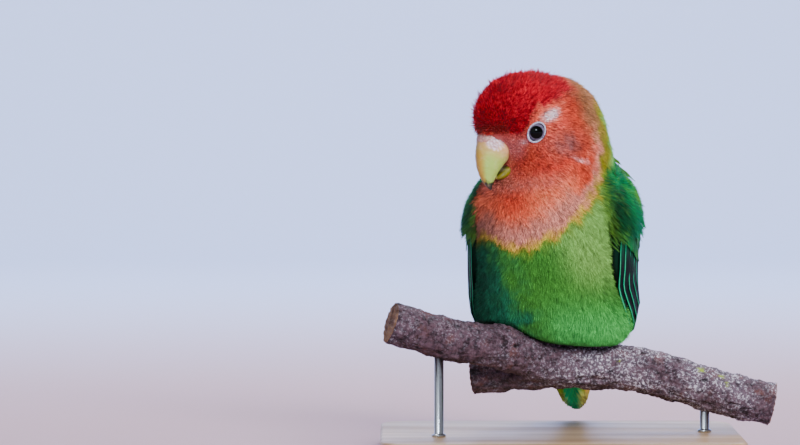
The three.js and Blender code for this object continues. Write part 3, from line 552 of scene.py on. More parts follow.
# Folded wings: lower and upper edge from bend to tip in the bird frame, left side.
WING_LOW = [[9, 19, 59], [13.5, 20, 45], [12, 21, 25], [0, 24, 9], [-28, 17, -4], [-57, 6.5, -8]]
WING_HIGH = [[0, 16, 61], [-14, 16, 60], [-26, 12, 50], [-36, 6, 33], [-43, 2.5, 15], [-59, 3, -5]]
WING_SINK = 1.0
WING_PROUD = 1.2
WING_FULL = {1: 2.6, -1: 0.5}
TIP_SHIFT = -2.2


def wing_height(side, s, w):
    """Height of the wing's outer face over its inner one: fullest over the folded arm, and drawn
    down towards the body at its front edge and its bend."""
    full = np.maximum(np.sin(math.pi * np.minimum(s / 0.59, 1)), 0)
    across = np.maximum(np.sin(math.pi * mix(0.18, 0.9, w)), 0)
    thin = np.minimum(1, 0.35 + (1 - s) / 0.29)
    edge = smooth(w, -0.06, 0.16) * smooth(s, -0.04, 0.24)
    return ((WING_SINK + WING_PROUD) * thin + WING_FULL[side] * full * across) * mix(0.34, 1, edge)


def wing_place(side, s, w):
    """Place and outward way on the inner face of the folded wing: s from bend to tip, w across."""
    low, high = through(WING_LOW, s), through(WING_HIGH, s)
    p = mix(low, high, np.asarray(w)[..., None])
    p = p * np.array([1, side, 1]) + np.array([0, TIP_SHIFT, 0]) * (np.asarray(s) ** 2)[..., None]
    past = (through(WING_LOW, np.array(1.0)) - through(WING_LOW, np.array(0.9))) * 10
    p = p + past * np.array([1, side, 1]) * np.maximum(np.asarray(s) - 1, 0)[..., None]
    at = bird_point(p)
    for _ in range(5):
        short = np.maximum(-WING_SINK - form(at), 0)
        at = at + outward(at) * np.minimum(short, 4)[..., None]
    return at, outward(at)


WING_S, WING_W = np.meshgrid(np.linspace(0, 0.97, 48), np.linspace(0, 1, 22), indexing="ij")
WING_SPOTS = []
for wing_side in SIDE_NAMES:
    spot, spot_out = wing_place(wing_side, WING_S, WING_W)
    top = spot + spot_out * wing_height(wing_side, WING_S, WING_W)[..., None]
    WING_SPOTS.append((top, form(top), unit(np.gradient(spot, axis=1))))


def nearest_wing(p):
    """Distance of places to the nearest folded wing's face, its level there, the way to the
    middle of the wing, and the places s and w on it."""
    best = np.full(len(p), 99.0)
    level, way = np.zeros(len(p)), np.zeros((len(p), 3))
    at_s, at_w = np.zeros(len(p)), np.zeros(len(p))
    for top, heights, inward in WING_SPOTS:
        flat = top.reshape(-1, 3)
        low = flat - outward(flat) * heights.reshape(-1, 1)
        for part in np.array_split(np.arange(len(p)), max(1, len(p) // 3000)):
            d = length_of(p[part][:, None] - low[None])
            k = np.argmin(d, axis=1)
            near = d[np.arange(len(part)), k]
            better = near < best[part]
            rows, k = part[better], k[better]
            best[rows] = near[better]
            level[rows] = heights.ravel()[k]
            way[rows] = inward.reshape(-1, 3)[k]
            at_s[rows], at_w[rows] = WING_S.ravel()[k], WING_W.ravel()[k]
    return best, level, way, at_s, at_w


# Lie, depth and length of the coat.

BILL_BASE = head_point([19, 0, -4])
TAIL_END = bird_point([-66, -4.8, -27])
COAT_DEPTH = 2.1
FACE_DEPTH = 1.0


def headness(p):
    """1 on the head and the bib, 0 about a centimetre past the lower edge of the bib."""
    return fall(bib_distance(*np.moveaxis(in_head(p), -1, 0)), -8, 10)


def near_face(p):
    """0 at the bill and the eyes, growing to 1 about a centimetre away."""
    bill = length_of(p - BILL_BASE)
    return smooth(bill, 7, 19) * smooth(eye_reach(p), 0.9, 3.2)


def lie(p, n):
    """Way the feathers point: away from the bill on the head, then down and towards the tail."""
    away = p - BILL_BASE
    head = np.exp(-((length_of(away) / 34) ** 2))[..., None]
    tail = unit(TAIL_END - p) - 0.55 * UP
    way = unit(away) * head * 1.2 + unit(tail) * (1 - head)
    fringe = fall(cere_distance(p), 0.4, 2.6) * smooth(in_head(p)[..., 2], 1.5, 4)
    way = way * (1 - 2 * fringe[..., None]) - 0.8 * fringe[..., None] * UP
    way = way + 0.16 * np.stack([waves(p, 14, s) for s in (21, 22, 23)], axis=-1)
    return unit(way - n * dot(way, n))


def coat_depth(p):
    """How deep the skin lies under the outline of the coat."""
    deep = mix(COAT_DEPTH, FACE_DEPTH, headness(p))
    return deep * mix(0.35, 1, near_face(p))


def soft_arm(s):
    """1 beside the softly covered arm of the wing and 0 beside its long feathers."""
    return fall(s, 0.17, 0.26)


def swell(far, level, s):
    """How far the coat fills out towards the folded wing, so that no step is left at its edge."""
    return fall(far, 0.5, 9) * (level + 0.7 * soft_arm(s) * smooth(s, 0, 0.12) - 0.1)


# Skin.

SKIN_ROWS, SKIN_SIDES = 220, 180
SKIN_SHADE = 0.55
SOCKET_DEPTH = 2.6
v_grid, f_grid = np.meshgrid(np.linspace(-1, 2, SKIN_ROWS), round_angles(SKIN_SIDES), indexing="ij")
outline = body_points(v_grid, f_grid, 0.0)
outline_out = outward(outline)


def make_skin():
    """The outline of the coat drawn in by the coat's depth, one closed skin for all the flesh."""
    far, level, _, wing_s, wing_w = nearest_wing(outline.reshape(-1, 3))
    fill = np.where(wing_w < 0.4, swell(far, level, wing_s), 0) * smooth(far, 0.5, 3)
    deep = coat_depth(outline) - 0.8 * fill.reshape(outline.shape[:-1])
    grid = outline - outline_out * deep[..., None]
    for at, out, long, short in EYES.values():
        d = grid - at
        socket = fall(lid_reach(d, long, short, -0.2), 0.6, 1.1) * (np.abs(d @ out) < 5)
        grid = grid - out * (SOCKET_DEPTH * socket)[..., None]
    colours = linear(markings_and_shade(outline)) * SKIN_SHADE
    uv = np.stack([f_grid / (2 * math.pi), (v_grid + 1) / 3], axis=-1)
    return put_grid("skin", rest_on_perch(grid), flip=True, colours=colours, uv=uv)


# Coat.

CROWD = 9.0
CUBE = 1.22


def cube_keys(cell):
    """One whole number for the unit cube that each place lies in."""
    key = np.floor(cell).astype(np.int64) + 4000
    return (key[:, 0] * 8192 + key[:, 1]) * 8192 + key[:, 2]


def roots_on(part, spacing, seed):
    """Evenly spread places on a part of the outline: random ones by area, of which each small cube
    keeps the one nearest to its middle."""
    r = np.random.default_rng(seed)
    g = np.concatenate([outline, outline[:, :1]], axis=1)
    du, dv = g[1:, :-1] - g[:-1, :-1], g[:-1, 1:] - g[:-1, :-1]
    area = length_of(np.cross(du, dv)) * part[:-1]
    count = int(area.sum() / spacing**2 * CROWD)
    pick = r.choice(area.size, count, p=(area / area.sum()).ravel())
    i, j = pick // area.shape[1], pick % area.shape[1]
    x, y = r.random(count), r.random(count)
    at = (g[i, j] * (1 - x)[:, None] + g[i + 1, j] * x[:, None]) * (1 - y)[:, None]
    at = at + (g[i, j + 1] * (1 - x)[:, None] + g[i + 1, j + 1] * x[:, None]) * y[:, None]
    uv = np.stack([(j + y) / SKIN_SIDES, (i + x) / (SKIN_ROWS - 1)], axis=-1)
    cell = at / (spacing * CUBE)
    order = np.argsort(length_of(cell - np.floor(cell) - 0.5))
    first = order[np.unique(cube_keys(cell)[order], return_index=True)[1]]
    return at[first], uv[first]


BARB_STEPS = np.array([0.0, 0.4, 0.74, 1.0])
BARB_WIDTHS = np.array([0.75, 1.0, 0.8, 0.0])
BARB_POINTS = [0, 0, 1, 1, 2, 2, 3]
BARB_FACES = np.array([[0, 1, 3], [0, 3, 2], [2, 3, 5], [2, 5, 4], [4, 5, 6]])
PATCH = 0.003


def barbs_mesh(name, seed, barbs, wide, contrast, root, uv, way, n, colour, size, base):
    """Feathers as fans of flat, pointed barbs. Each barb leaves the feather's root, spreads sideways
    and rises from the skin to the outline of the coat; its tip is shorter towards the fan's edges.
    Size is length, width, depth and rise of the tips, and base the level under root and tip."""
    r = np.random.default_rng(seed)
    count = len(root)
    length, width, depth, rise = (x[:, None, None] for x in size)
    side = np.cross(n, way)
    u = np.linspace(-1, 1, barbs)[None, :, None] + r.normal(0, 0.10, (count, barbs, 1))
    s = BARB_STEPS[None, None, :]
    reach = length * (1 - 0.30 * u**2) * (1 + r.normal(0, 0.09, (count, barbs, 1)))
    bend = r.normal(0, 0.10, (count, 1, 1)) * length
    stray = r.normal(0, 0.05, (count, barbs, 1)) * s * length
    x = width / 2 * u * (0.25 + 0.75 * s**0.8) + bend * s**2 + stray
    y = reach * s
    p = root[:, None, None] + side[:, None, None] * x[..., None] + way[:, None, None] * y[..., None]
    lift = r.normal(0, 1, (count, barbs, 1))
    loose = np.where(r.random((count, 1, 1)) < 0.10, r.uniform(1, 3.2, (count, 1, 1)), 0)
    stand = rise * (0.7 + 0.7 * r.normal(0, 1, (count, 1, 1)) + 0.6 * lift + loose)
    level = -depth * (1 - s) ** 1.5 + stand * s**2
    level = level + mix(base[0][:, None, None], base[1][:, None, None], s**0.8)
    mid = root[:, None] + way[:, None] * (length[:, 0] * s[0])[..., None]
    slope = outward(mid)[:, None]
    for _ in range(2):
        p = p + slope * (level - form(p))[..., None]
    across = unit(np.cross(np.broadcast_to(slope, p.shape), np.gradient(p, axis=2)))
    tilt = r.normal(0, 0.32, (count, barbs, 1, 1))
    across = unit(across * np.cos(tilt) + slope * np.sin(tilt))
    half = BARB_WIDTHS[:, None] * wide * (1 + r.normal(0, 0.15, (count, barbs, 1, 1)))
    pairs = np.stack([p - across * half, p + across * half], axis=3)[:, :, :3]
    verts = np.concatenate([pairs.reshape(count, barbs, 6, 3), p[:, :, 3:]], axis=2)
    faces = (np.arange(count * barbs)[:, None, None] * 7 + BARB_FACES).reshape(-1, 3)
    shade = (0.50 + 0.62 * BARB_STEPS**0.8)[BARB_POINTS]
    shade = shade * (1 + contrast * r.normal(0, 0.17, (count, barbs, 1)))
    shade = np.clip(shade * (1 + contrast * r.normal(0, 0.09, (count, 1, 1))), 0.2, 1.7)
    colours = np.clip(colour[:, None, None] * shade[..., None], 0, 1)
    local = np.stack([x / width, y / length], axis=-1)[:, :, BARB_POINTS]
    spots = uv[:, None, None] + (local - np.array([0, 0.5])) * PATCH
    return put_mesh(name, rest_on_perch(verts), faces, colours=colours, uv=spots)


ZONES = {
    # zone: spacing, length, width, rise of the tips, barbs, barb half-width, contrast, brightness
    "crown": (0.48, 1.5, 0.85, 0.5, 7, 0.065, 3.2, 1.07),
    "face": (0.55, 2.1, 1.1, 0.14, 8, 0.060, 2.4, 1.22),
    "bib": (0.62, 2.9, 1.5, 0.20, 9, 0.065, 2.5, 1.14),
    "body": (0.72, 3.9, 1.9, 0.26, 10, 0.078, 1.6, 1.07),
}
BODY_SPLIT = 26


def zone_parts(p):
    """Shares of the coat's zones at places: crown, face, bib and body."""
    h, m, n = np.moveaxis(in_head(p), -1, 0)
    bib = bib_distance(h, m, n)
    head = fall(bib, -1, 1)
    crown = smooth(over_red_edge(h, n), -1.5, 0.5) * smooth(h, -12, -8)
    face = fall(bib, -15, -11) * (1 - crown)
    rest = np.clip(head - face - crown, 0, 1)
    return {"crown": crown * head, "face": face, "bib": rest, "body": 1 - head}


def make_coat():
    """Fans of barbs over the whole outline, in pieces by zone, quarter round the body and height.
    Beside a folded wing the coat fills out to the wing's level, and its tips cover the wing's edge."""
    pieces = []
    zone_of = np.stack([zone_parts(outline)[z] for z in ZONES]).argmax(axis=0)
    for index, (zone, values) in enumerate(ZONES.items()):
        spacing, length, width, rise, barbs, wide, contrast, bright = values
        root, uv = roots_on((zone_of == index).astype(float), spacing, 31 + index)
        far, wing_level, inward, wing_s, wing_w = nearest_wing(root)
        keep = ~near_bill(root, 0.1) & (eye_reach(root) > 1.0)
        keep &= length_of(np.abs(in_bill(root)) - np.abs(NOSTRIL_AT)) > NOSTRIL_ROOM
        keep &= (far > 1.6) | (wing_w < 0.03)
        kept = (x[keep] for x in (root, uv, far, inward, wing_level, wing_s))
        root, uv, far, inward, wing_level, wing_s = kept
        n = outward(root)
        arm = soft_arm(wing_s)
        toward = (fall(far, 2, 8) * mix(-0.12, 0.22, arm))[:, None]
        way = unit(lie(root, n) + inward * toward)
        way = unit(way - n * dot(way, n))
        close = near_face(root)
        long = length * mix(0.36, 1, close) * (1 + mix(-0.5, 0.35, arm) * fall(far, 3, 7))
        tip = root + way * (long * 0.75)[:, None]
        tip = tip - outward(tip) * form(tip)[:, None]
        tip_far, tip_level, _, tip_s, tip_w = nearest_wing(tip)
        cover = tip_level + mix(0.2, 1.0, soft_arm(tip_s) * smooth(tip_s, 0, 0.12))
        tip_fill = np.maximum(swell(tip_far, tip_level, tip_s), fall(tip_far, 0.8, 2.2) * cover)
        low_edge = mix(0.03, 0.045, smooth(tip_s, 0.30, 0.42))
        sunk = (tip_far < 2.0) & (tip_w > low_edge) & (tip_s > 0.25) & (tip_s < 0.9)
        size = (long, width * mix(0.45, 1, close), coat_depth(root), np.full(len(root), rise))
        base = (swell(far, wing_level, wing_s), np.where(sunk, -1.5, tip_fill))
        beside = fall(tip_far, 0.8, 3.2) * soft_arm(tip_s) * (tip[:, 0] > 0)
        colour = mix(markings_and_shade(tip), wing_markings(tip, tip_s, tip_w - 0.02), (beside * 0.9)[:, None])
        if zone == "crown":
            spark = np.random.default_rng(5).random(len(root)) ** 3
            colour = paint(colour, [(CROWN_SPARK, spark * 0.6)])
        colour = linear(np.clip(colour, 0, 1)) * bright * perch_shade(tip)[:, None]
        bp = in_bird(root)
        quarter = np.floor((np.arctan2(bp[:, 1], bp[:, 0]) / math.pi + 1) * 2).astype(int) % 4
        part_of = quarter * 2 + (bp[:, 2] > (BODY_SPLIT if zone == "body" else -99))
        for part in range(8):
            which = part_of == part
            if not which.any():
                continue
            chosen = [x[which] for x in (root, uv, way, n, colour)]
            sizes, bases = ([x[which] for x in group] for group in (size, base))
            name = f"coat_{zone}_{'abcd'[part // 2]}{part % 2}"
            seed = 50 + 10 * index + part
            pieces.append(barbs_mesh(name, seed, barbs, wide, contrast, *chosen, sizes, bases))
    return pieces


WING_DARK = [0.07, 0.27, 0.17]
WING_BRIGHT = [0.0, 0.52, 0.28]
WING_LEAF = [0.34, 0.52, 0.17]
WING_DEEP_TEAL = [0.02, 0.36, 0.32]
WING_OLIVE_EDGE = [0.30, 0.43, 0.14]
WING_EMERALD = [0.02, 0.46, 0.26]
WING_PATCHES = [
    # colour, place s and w on the wing, reach along s and w
    (WING_EMERALD, 0.07, 0.42, 0.06, 0.16),
    (WING_LEAF, 0.13, 0.52, 0.022, 0.08),
    (WING_LEAF, 0.215, 0.36, 0.032, 0.09),
    (WING_DEEP_TEAL, 0.27, 0.22, 0.035, 0.06),
    (WING_EMERALD, 0.30, 0.36, 0.05, 0.10),
    (WING_LEAF, 0.36, 0.26, 0.022, 0.05),
]


def wing_markings(p, s, w):
    """Screen colours of the soft covering of the folded wing."""
    streak = np.stack([w * 45, s * 36, 0 * s], axis=-1)
    mottle = 0.8 + 0.2 * waves(streak, 2.0, 54)
    layers = [
        (WING_DEEP_TEAL, smooth(waves(streak, 5.0, 51), 0.0, 0.6) * 0.85),
        (WING_DARK, smooth(waves(streak, 2.6, 52), 0.0, 0.7) * 0.7),
        (WING_DARK, fall(w, 0.10, 0.26) * 0.85),
        (WING_LEAF, smooth(waves(streak, 3.4, 53), 0.25, 0.6) * 0.5),
    ]
    for patch, at_s, at_w, long, wide in WING_PATCHES:
        layers.append((patch, hill((s, at_s, long), (w, at_w, wide)) * mottle))
    layers += [
        (WING_OLIVE_EDGE, fall(w, -0.03, 0.07) * 0.85),
        (LEAF, fall(w, -0.12, -0.02) * 0.6),
        (WING_LEAF, fall(s, -0.04, 0.05) * 0.6),
    ]
    return paint(np.zeros(p.shape) + WING_BRIGHT, layers)


TUFT_TRIES = 18000
TUFT_SPACING = 0.88


def wing_tufts(side, seed):
    """Short soft feathers over the arm of the folded wing. They start on the body just before the
    wing's front edge, so that the coat runs over it, and thin out towards the back."""
    r = np.random.default_rng(seed)
    s = r.uniform(-0.04, 0.36, TUFT_TRIES)
    w = r.uniform(-0.04, 1.02, TUFT_TRIES)
    arm = fall(s + 0.06 * (w - 0.3) + 0.05 * fall(w, 0.05, 0.3), 0.20, 0.31)
    keep = r.random(TUFT_TRIES) < arm * (1 - 0.75 * smooth(w, 0.40, 0.62) * smooth(s, 0.0, 0.08))
    s, w = s[keep], w[keep]

    def upon(s, w, lift):
        inner, n = wing_place(side, s, w)
        edge = np.minimum(smooth(w, -0.03, 0.12), smooth(s, -0.02, 0.14))
        plate = wing_height(side, np.clip(s, 0, 1), np.clip(w, 0, 1)) * edge
        body = (1 - edge) * (WING_SINK - 0.3)
        return inner + n * (plate + body + lift * (0.3 + 0.7 * edge))[:, None]

    step = 0.045 + 0.03 * fall(w, 0, 0.1)
    root = upon(s, w, 0.4)
    first = np.unique(cube_keys(root / TUFT_SPACING), return_index=True)[1]
    root, s, w, step = root[first], s[first], w[first], step[first]
    slant = 0.03 + 0.05 * fall(w, -0.05, 0.16)
    tip = upon(s + step, w + slant, 0.5 + 1.5 * smooth(s, 0.05, 0.24) + 0.6 * smooth(s, 0.1, 0.3))
    n = outward(root)
    along = tip - root
    along = along - n * dot(along, n)
    long = length_of(along)
    way = along / long[:, None]
    count = len(root)
    long = np.clip(long, 2.9, 4.8) * (1 + 0.10 * r.normal(0, 1, count))
    size = (long, 0.5 * long, np.full(count, 0.9), np.full(count, 0.25))
    base = (form(root) + 0.2, form(tip))
    uv = np.stack([0.1 + 0.3 * w + (0.5 if side < 0 else 0), 0.2 + 1.2 * s], axis=-1)
    colour = linear(np.clip(wing_markings(root, s, w), 0, 1))
    name = f"wing_{SIDE_NAMES[side]}_soft"
    return barbs_mesh(name, seed, 9, 0.10, 1.7, root, uv, way, n, colour, size, base)


# Materials.

def dress(piece, material):
    """Gives a piece its one material."""
    piece.data.materials.clear()
    piece.data.materials.append(material)


def rgb(screen):
    """Screen colour as a colour of a node."""
    return (*linear(screen), 1)


class Nodes:
    """Short way to wire a node material."""

    def __init__(self, name):
        self.material = bpy.data.materials.new(name)
        self.material.use_nodes = True
        self.nodes, self.links = self.material.node_tree.nodes, self.material.node_tree.links
        self.shader = self.nodes["Principled BSDF"]
        self.where = self.nodes.new("ShaderNodeTexCoord").outputs["Object"]

    def add(self, kind, **values):
        node = self.nodes.new("ShaderNode" + kind)
        for key, value in values.items():
            setattr(node, key, value)
        return node

    def put(self, socket, value):
        if isinstance(value, bpy.types.NodeSocket):
            self.links.new(value, socket)
        else:
            socket.default_value = value

    def put_all(self, node, **values):
        for key, value in values.items():
            self.put(node.inputs[key.replace("_", " ")], value)

    def attribute(self, name, output="Fac"):
        return self.add("Attribute", attribute_name=name).outputs[output]

    def noise(self, scale, detail=4.0, rough=0.55, stretch=None):
        source = self.where
        if stretch:
            turn = self.add("Mapping")
            self.put_all(turn, Scale=stretch, Vector=source)
            source = turn.outputs["Vector"]
        node = self.add("TexNoise")
        self.put_all(node, Scale=scale, Detail=detail, Roughness=rough, Vector=source)
        return node.outputs["Fac"]

    def step(self, value, low, high, to_low=0.0, to_high=1.0, kind="SMOOTHSTEP"):
        node = self.add("MapRange", interpolation_type=kind)
        self.put_all(node, Value=value, From_Min=low, From_Max=high, To_Min=to_low, To_Max=to_high)
        return node.outputs["Result"]

    def maths(self, kind, a, b=0.0, clamp=False):
        node = self.add("Math", operation=kind, use_clamp=clamp)
        self.put(node.inputs[0], a)
        self.put(node.inputs[1], b)
        return node.outputs[0]

    def blend(self, a, b, factor, kind="MIX"):
        node = self.add("Mix", data_type="RGBA", blend_type=kind)
        self.put(node.inputs["Factor"], factor)
        self.put(node.inputs[6], a)
        self.put(node.inputs[7], b)
        return node.outputs[2]

    def bump(self, height, distance, strength):
        node = self.add("Bump")
        self.put_all(node, Strength=strength, Distance=distance, Height=height)
        return node.outputs["Normal"]

    def finish(self, colour, roughness, normal=None, **fixed):
        self.put_all(self.shader, Base_Color=colour, Roughness=roughness, **fixed)
        if normal:
            self.put_all(self.shader, Normal=normal)
        return self.material


def vane_material(name):
    """Feather vanes: barbs as fine slanting ridges, a darker shaft, and a dark inner web that
    leaves only the outer edge coloured."""
    n = Nodes(name)
    web = n.attribute("web")
    ridge = n.maths("SINE", n.maths("MULTIPLY", n.attribute("barb"), 15.0))
    grain = n.maths("MULTIPLY", n.noise(900, 3, 0.5), 0.5)
    tone = n.maths("ADD", n.maths("ADD", n.maths("MULTIPLY", ridge, 0.10), grain), 0.72)
    dark_web = n.maths("MULTIPLY", n.step(web, 0.74, 0.88, 1, 0), n.attribute("dark"), clamp=True)
    shaft = n.step(n.maths("ABSOLUTE", web), 0.03, 0.07, 0.55, 0, kind="LINEAR")
    colour = n.blend(n.attribute("plumage", "Color"), tone, 1.0, "MULTIPLY")
    colour = n.blend(colour, (0.006, 0.010, 0.012, 1), n.maths("MAXIMUM", dark_web, shaft))
    return n.finish(colour, 0.5, n.bump(ridge, 0.0002, 0.35), Specular_IOR_Level=0.06)


# Flight feathers: thin closed vanes in shingled rows.

EMERALD = [0.01, 0.38, 0.20]
WING_TEAL = [0.02, 0.33, 0.28]
WING_OLIVE = [0.22, 0.40, 0.10]
EDGE_TEAL = [0.14, 0.74, 0.54]
VANE_ROWS = 15
VANE_COLS = 11
VANE_SHEET = 0.16
VANE_SPLIT = 0.10
VANE_U = np.sin(np.linspace(-90, 90, VANE_COLS) * DEG)
VANE_T = np.linspace(0, 1, VANE_ROWS)[None]


def vane_mesh(name, centre, across, n, half, colour, dark, seed, clear=None, curl=0.25):
    """Closed thin vanes. Over a centre line, points lie at u across from -1 to 1, with a raised
    shaft, edges that droop and ripple, and a few notches where the barbs have parted."""
    r = np.random.default_rng(seed)
    count = len(centre)
    u, t = VANE_U, VANE_T[..., None]
    notch = np.zeros((count, VANE_ROWS, 2))
    for _ in range(3):
        spot = r.uniform(0.25, 0.95, (count, 1, 2))
        notch += r.uniform(0.0, 1.0, (count, 1, 2)) ** 2 * hill((t, spot, 0.035))
    edge = np.where(u > 0, 1, 0)
    width = half[..., None] * (1 - VANE_SPLIT * notch[:, :, edge] * (np.abs(u) > 0.55))
    x = width * u
    ripple = 0.10 * np.sin(t * r.uniform(8, 16, (count, 1, 1)) + r.uniform(0, 6, (count, 1, 1)))
    z = -curl * u**2 + ripple * u * np.abs(u) + 0.10 * hill((u, 0, 0.13)) * (1 - 0.6 * t)
    sweep = 0.5 * np.abs(u) ** 1.5 * width * smooth(t, 0.0, 0.4)
    run = unit(np.gradient(centre, axis=1))
    top = centre[:, :, None] + across[:, :, None] * x[..., None] + n[:, :, None] * z[..., None]
    top = top - run[:, :, None] * (sweep * smooth(t, 0.72, 1.0) * 0.6)[..., None]
    if clear is not None:
        top = top + outward(top) * np.maximum(clear[..., None] - form(top), 0)[..., None]
    bottom = top - n[:, :, None] * (VANE_SHEET * (1 - u**4))[..., None]
    size = VANE_ROWS * VANE_COLS
    rim = np.ones((VANE_ROWS, VANE_COLS), bool)
    rim[1:-1, 1:-1] = False
    rim = rim.ravel()
    under = np.where(rim, np.arange(size), size + np.cumsum(~rim) - 1)
    corner = grid_faces(VANE_ROWS, VANE_COLS, around=False)
    faces = np.concatenate([corner, under[corner][:, ::-1]])
    verts = np.concatenate([top.reshape(count, size, 3), bottom.reshape(count, size, 3)[:, ~rim]], axis=1)
    faces = (np.arange(count)[:, None, None] * verts.shape[1] + faces).reshape(-1, 4)

    def both(values):
        flat = np.broadcast_to(values, (count, VANE_ROWS, VANE_COLS)).reshape(count, size)
        return np.concatenate([flat, flat[:, ~rim]], axis=1)

    length = length_of(np.diff(centre, axis=1)).sum(axis=1)[:, None, None]
    barb = t * length - 1.15 * np.abs(x) + r.uniform(0, 3, (count, 1, 1))
    cells = math.ceil(math.sqrt(count))
    cell = np.stack([np.arange(count) % cells, np.arange(count) // cells], axis=-1)
    local = np.stack([both(0.5 + 0.42 * u), both(0.06 + 0.88 * t)], axis=-1)
    colours = np.stack([both(c) for c in np.moveaxis(colour, -1, 0)], axis=-1)
    extra = {"web": both(u), "barb": both(barb), "dark": both(dark)}
    uv = (cell[:, None] + local) / cells
    return turn_out(put_mesh(name, verts, faces, np.clip(colours, 0, 1), uv, extra))


WING_ROWS = {
    # name: count, root row first and last (s, w), tip row first and last (s, w), height, lap,
    # darkness of the webs, and how far the feathers draw together towards the low edge
    "primaries": (12, [[0.24, 0.13], [0.32, 0.64]], [[0.66, 0.11], [1.04, 0.53]], 0.15, 1.05, 1.0, 0.22),
    "secondaries": (8, [[0.20, 0.47], [0.22, 0.92]], [[0.62, 0.44], [0.82, 0.90]], 0.9, 1.3, 0.8, 0),
    "tertials": (3, [[0.16, 0.66], [0.12, 0.90]], [[0.60, 0.70], [0.66, 0.92]], 1.2, 1.6, 0.15, 0),
    "primary_coverts": (5, [[0.16, 0.20], [0.20, 0.40]], [[0.37, 0.20], [0.45, 0.40]], 0.6, 1.3, 0.1, 0),
    "greater_coverts": (8, [[0.14, 0.30], [0.12, 0.94]], [[0.36, 0.32], [0.42, 0.94]], 1.3, 1.5, 0.05, 0),
    "median_coverts": (7, [[0.09, 0.40], [0.06, 0.94]], [[0.24, 0.42], [0.26, 0.94]], 1.4, 1.6, 0.0, 0),
    "lesser_low": (6, [[0.04, 0.45], [0.02, 0.90]], [[0.15, 0.46], [0.16, 0.92]], 1.3, 1.6, 0.0, 0),
    "lesser_high": (5, [[0.0, 0.48], [-0.02, 0.86]], [[0.095, 0.48], [0.10, 0.88]], 1.1, 1.6, 0.0, 0),
}


def wing_row(side, row, seed):
    """One shingled row of feathers on the folded wing."""
    count, root, tip, height, lap, darkness, dip = WING_ROWS[row]
    r = np.random.default_rng(seed)
    i = np.linspace(0, 1, count)[:, None]
    t = VANE_T
    full = np.ones((count, VANE_ROWS))
    far = 0.03 * r.normal(0, 1, (count, 1))
    s = mix(mix(root[0][0], root[1][0], i), mix(tip[0][0], tip[1][0], i) + far, t)
    w = mix(mix(root[0][1], root[1][1], i), mix(tip[0][1], tip[1][1], i), t)
    drawn = dip * mix(0.45, 0.62, smooth(i, 0, 0.2))
    w = w - drawn * smooth(s, 0.36, 0.58) * fall(s, 0.66, 0.95)
    under = fall(w, -0.03, 0.05) * (dip > 0)
    inner, n = wing_place(side, s, w)
    loose = r.uniform(0, 1, (count, 1)) ** 3 * (0.5 if count > 6 else 0.3)
    rise = (height * 0.55 + 0.35 * t + loose * t**3 + 0.25 * i) * mix(0.15, 1, smooth(s, 0, 0.22))
    plate = wing_height(side, np.clip(s, 0, 1), w)
    centre = inner + n * mix(plate + rise, -0.3, under)[..., None]
    across = unit(np.cross(n, unit(np.gradient(centre, axis=1)))) * -side
    gap = length_of(centre[1:] - centre[:-1]).mean(axis=0)[None]
    shape = sample([0.4, 0.8, 1.0, 1.0, 0.96, 0.86, 0.66, 0.12], t)
    half = np.maximum(gap * lap / 2 * 1.15 * shape * full, 0.12)
    tone = r.normal(0, 1, (count, 1, 1))
    base = paint(np.asarray(EMERALD) * full[..., None], [
        (WING_TEAL, np.clip(0.2 + 0.25 * tone[..., 0], 0, 0.8) * full),
        (WING_OLIVE, np.clip(-0.2 + 0.35 * r.normal(0, 1, (count, 1)), 0, 0.7) * smooth(t, 0.2, 0.9)),
    ])
    if darkness < 0.2:
        bars = np.sin(s * 46 + 9 * w + 3 * r.uniform(0, 1, (count, 1)))
        base = paint(base, [(WING_LEAF, smooth(bars, 0.35, 0.95) * 0.55)])
    base = base * (0.8 + 0.3 * t[..., None]) * (1 + 0.08 * tone)
    if darkness > 0.4:
        base = paint(base, [(EDGE_TEAL, 0.75 * full)])
        inner_web = smooth(i, 0.45, 0.85) if row == "secondaries" else 0 * i
        darkness = darkness * ((1 - 0.75 * inner_web) * mix(0.82, 1, smooth(t, 0.1, 0.4)))[..., None]
    colour = linear(np.clip(base, 0, 1))[:, :, None] * np.ones((1, 1, VANE_COLS, 1))
    clear = mix((WING_PROUD + rise - 0.2) * 0.6, -1.8, under) * full
    name = f"wing_{SIDE_NAMES[side]}_{row}"
    return vane_mesh(name, centre, across, n, half, colour, darkness, seed + 1, clear)


def closed_core(name, rings, colour):
    """A plain closed body of one colour under feathers."""
    grid = capped(rings)
    return turn_out(put_grid(name, grid, colours=linear(colour) * np.ones(grid.shape)))


def wing_bed(side):
    """The closed core of the folded wing under its feathers."""
    s, w = np.meshgrid(np.linspace(0, 0.96, 30), np.linspace(0.08, 0.92, 12), indexing="ij")
    inner, n = wing_place(side, s, w)
    edge = np.minimum(np.sin(math.pi * np.clip(w, 0.02, 0.98)) * 3, np.minimum(s, 1 - s) * 8 + 0.1)
    outer = inner + n * (wing_height(side, s, w) * np.minimum(1, edge) * 0.92)[..., None]
    sheet = np.concatenate([outer, inner[:, ::-1]], axis=1)
    return closed_core(f"wing_{SIDE_NAMES[side]}_bed", sheet, [0.03, 0.16, 0.12])


LOOSE_FEATHERS = [
    # root and tip of the shoulder feathers that stand away from the left wing, and their width
    [[17.2, 3, 101.9], [21.5, 6, 99.1], 1.4],
    [[17.4, 4, 100.3], [26.4, 9, 93.4], 1.5],
    [[21.0, 8, 92.4], [28.4, 13, 84.0], 2.4],
    [[24.0, 11, 86.4], [30.8, 18, 76.7], 2.8],
    [[25.4, 13, 81.4], [29.9, 20, 73.4], 2.4],
]


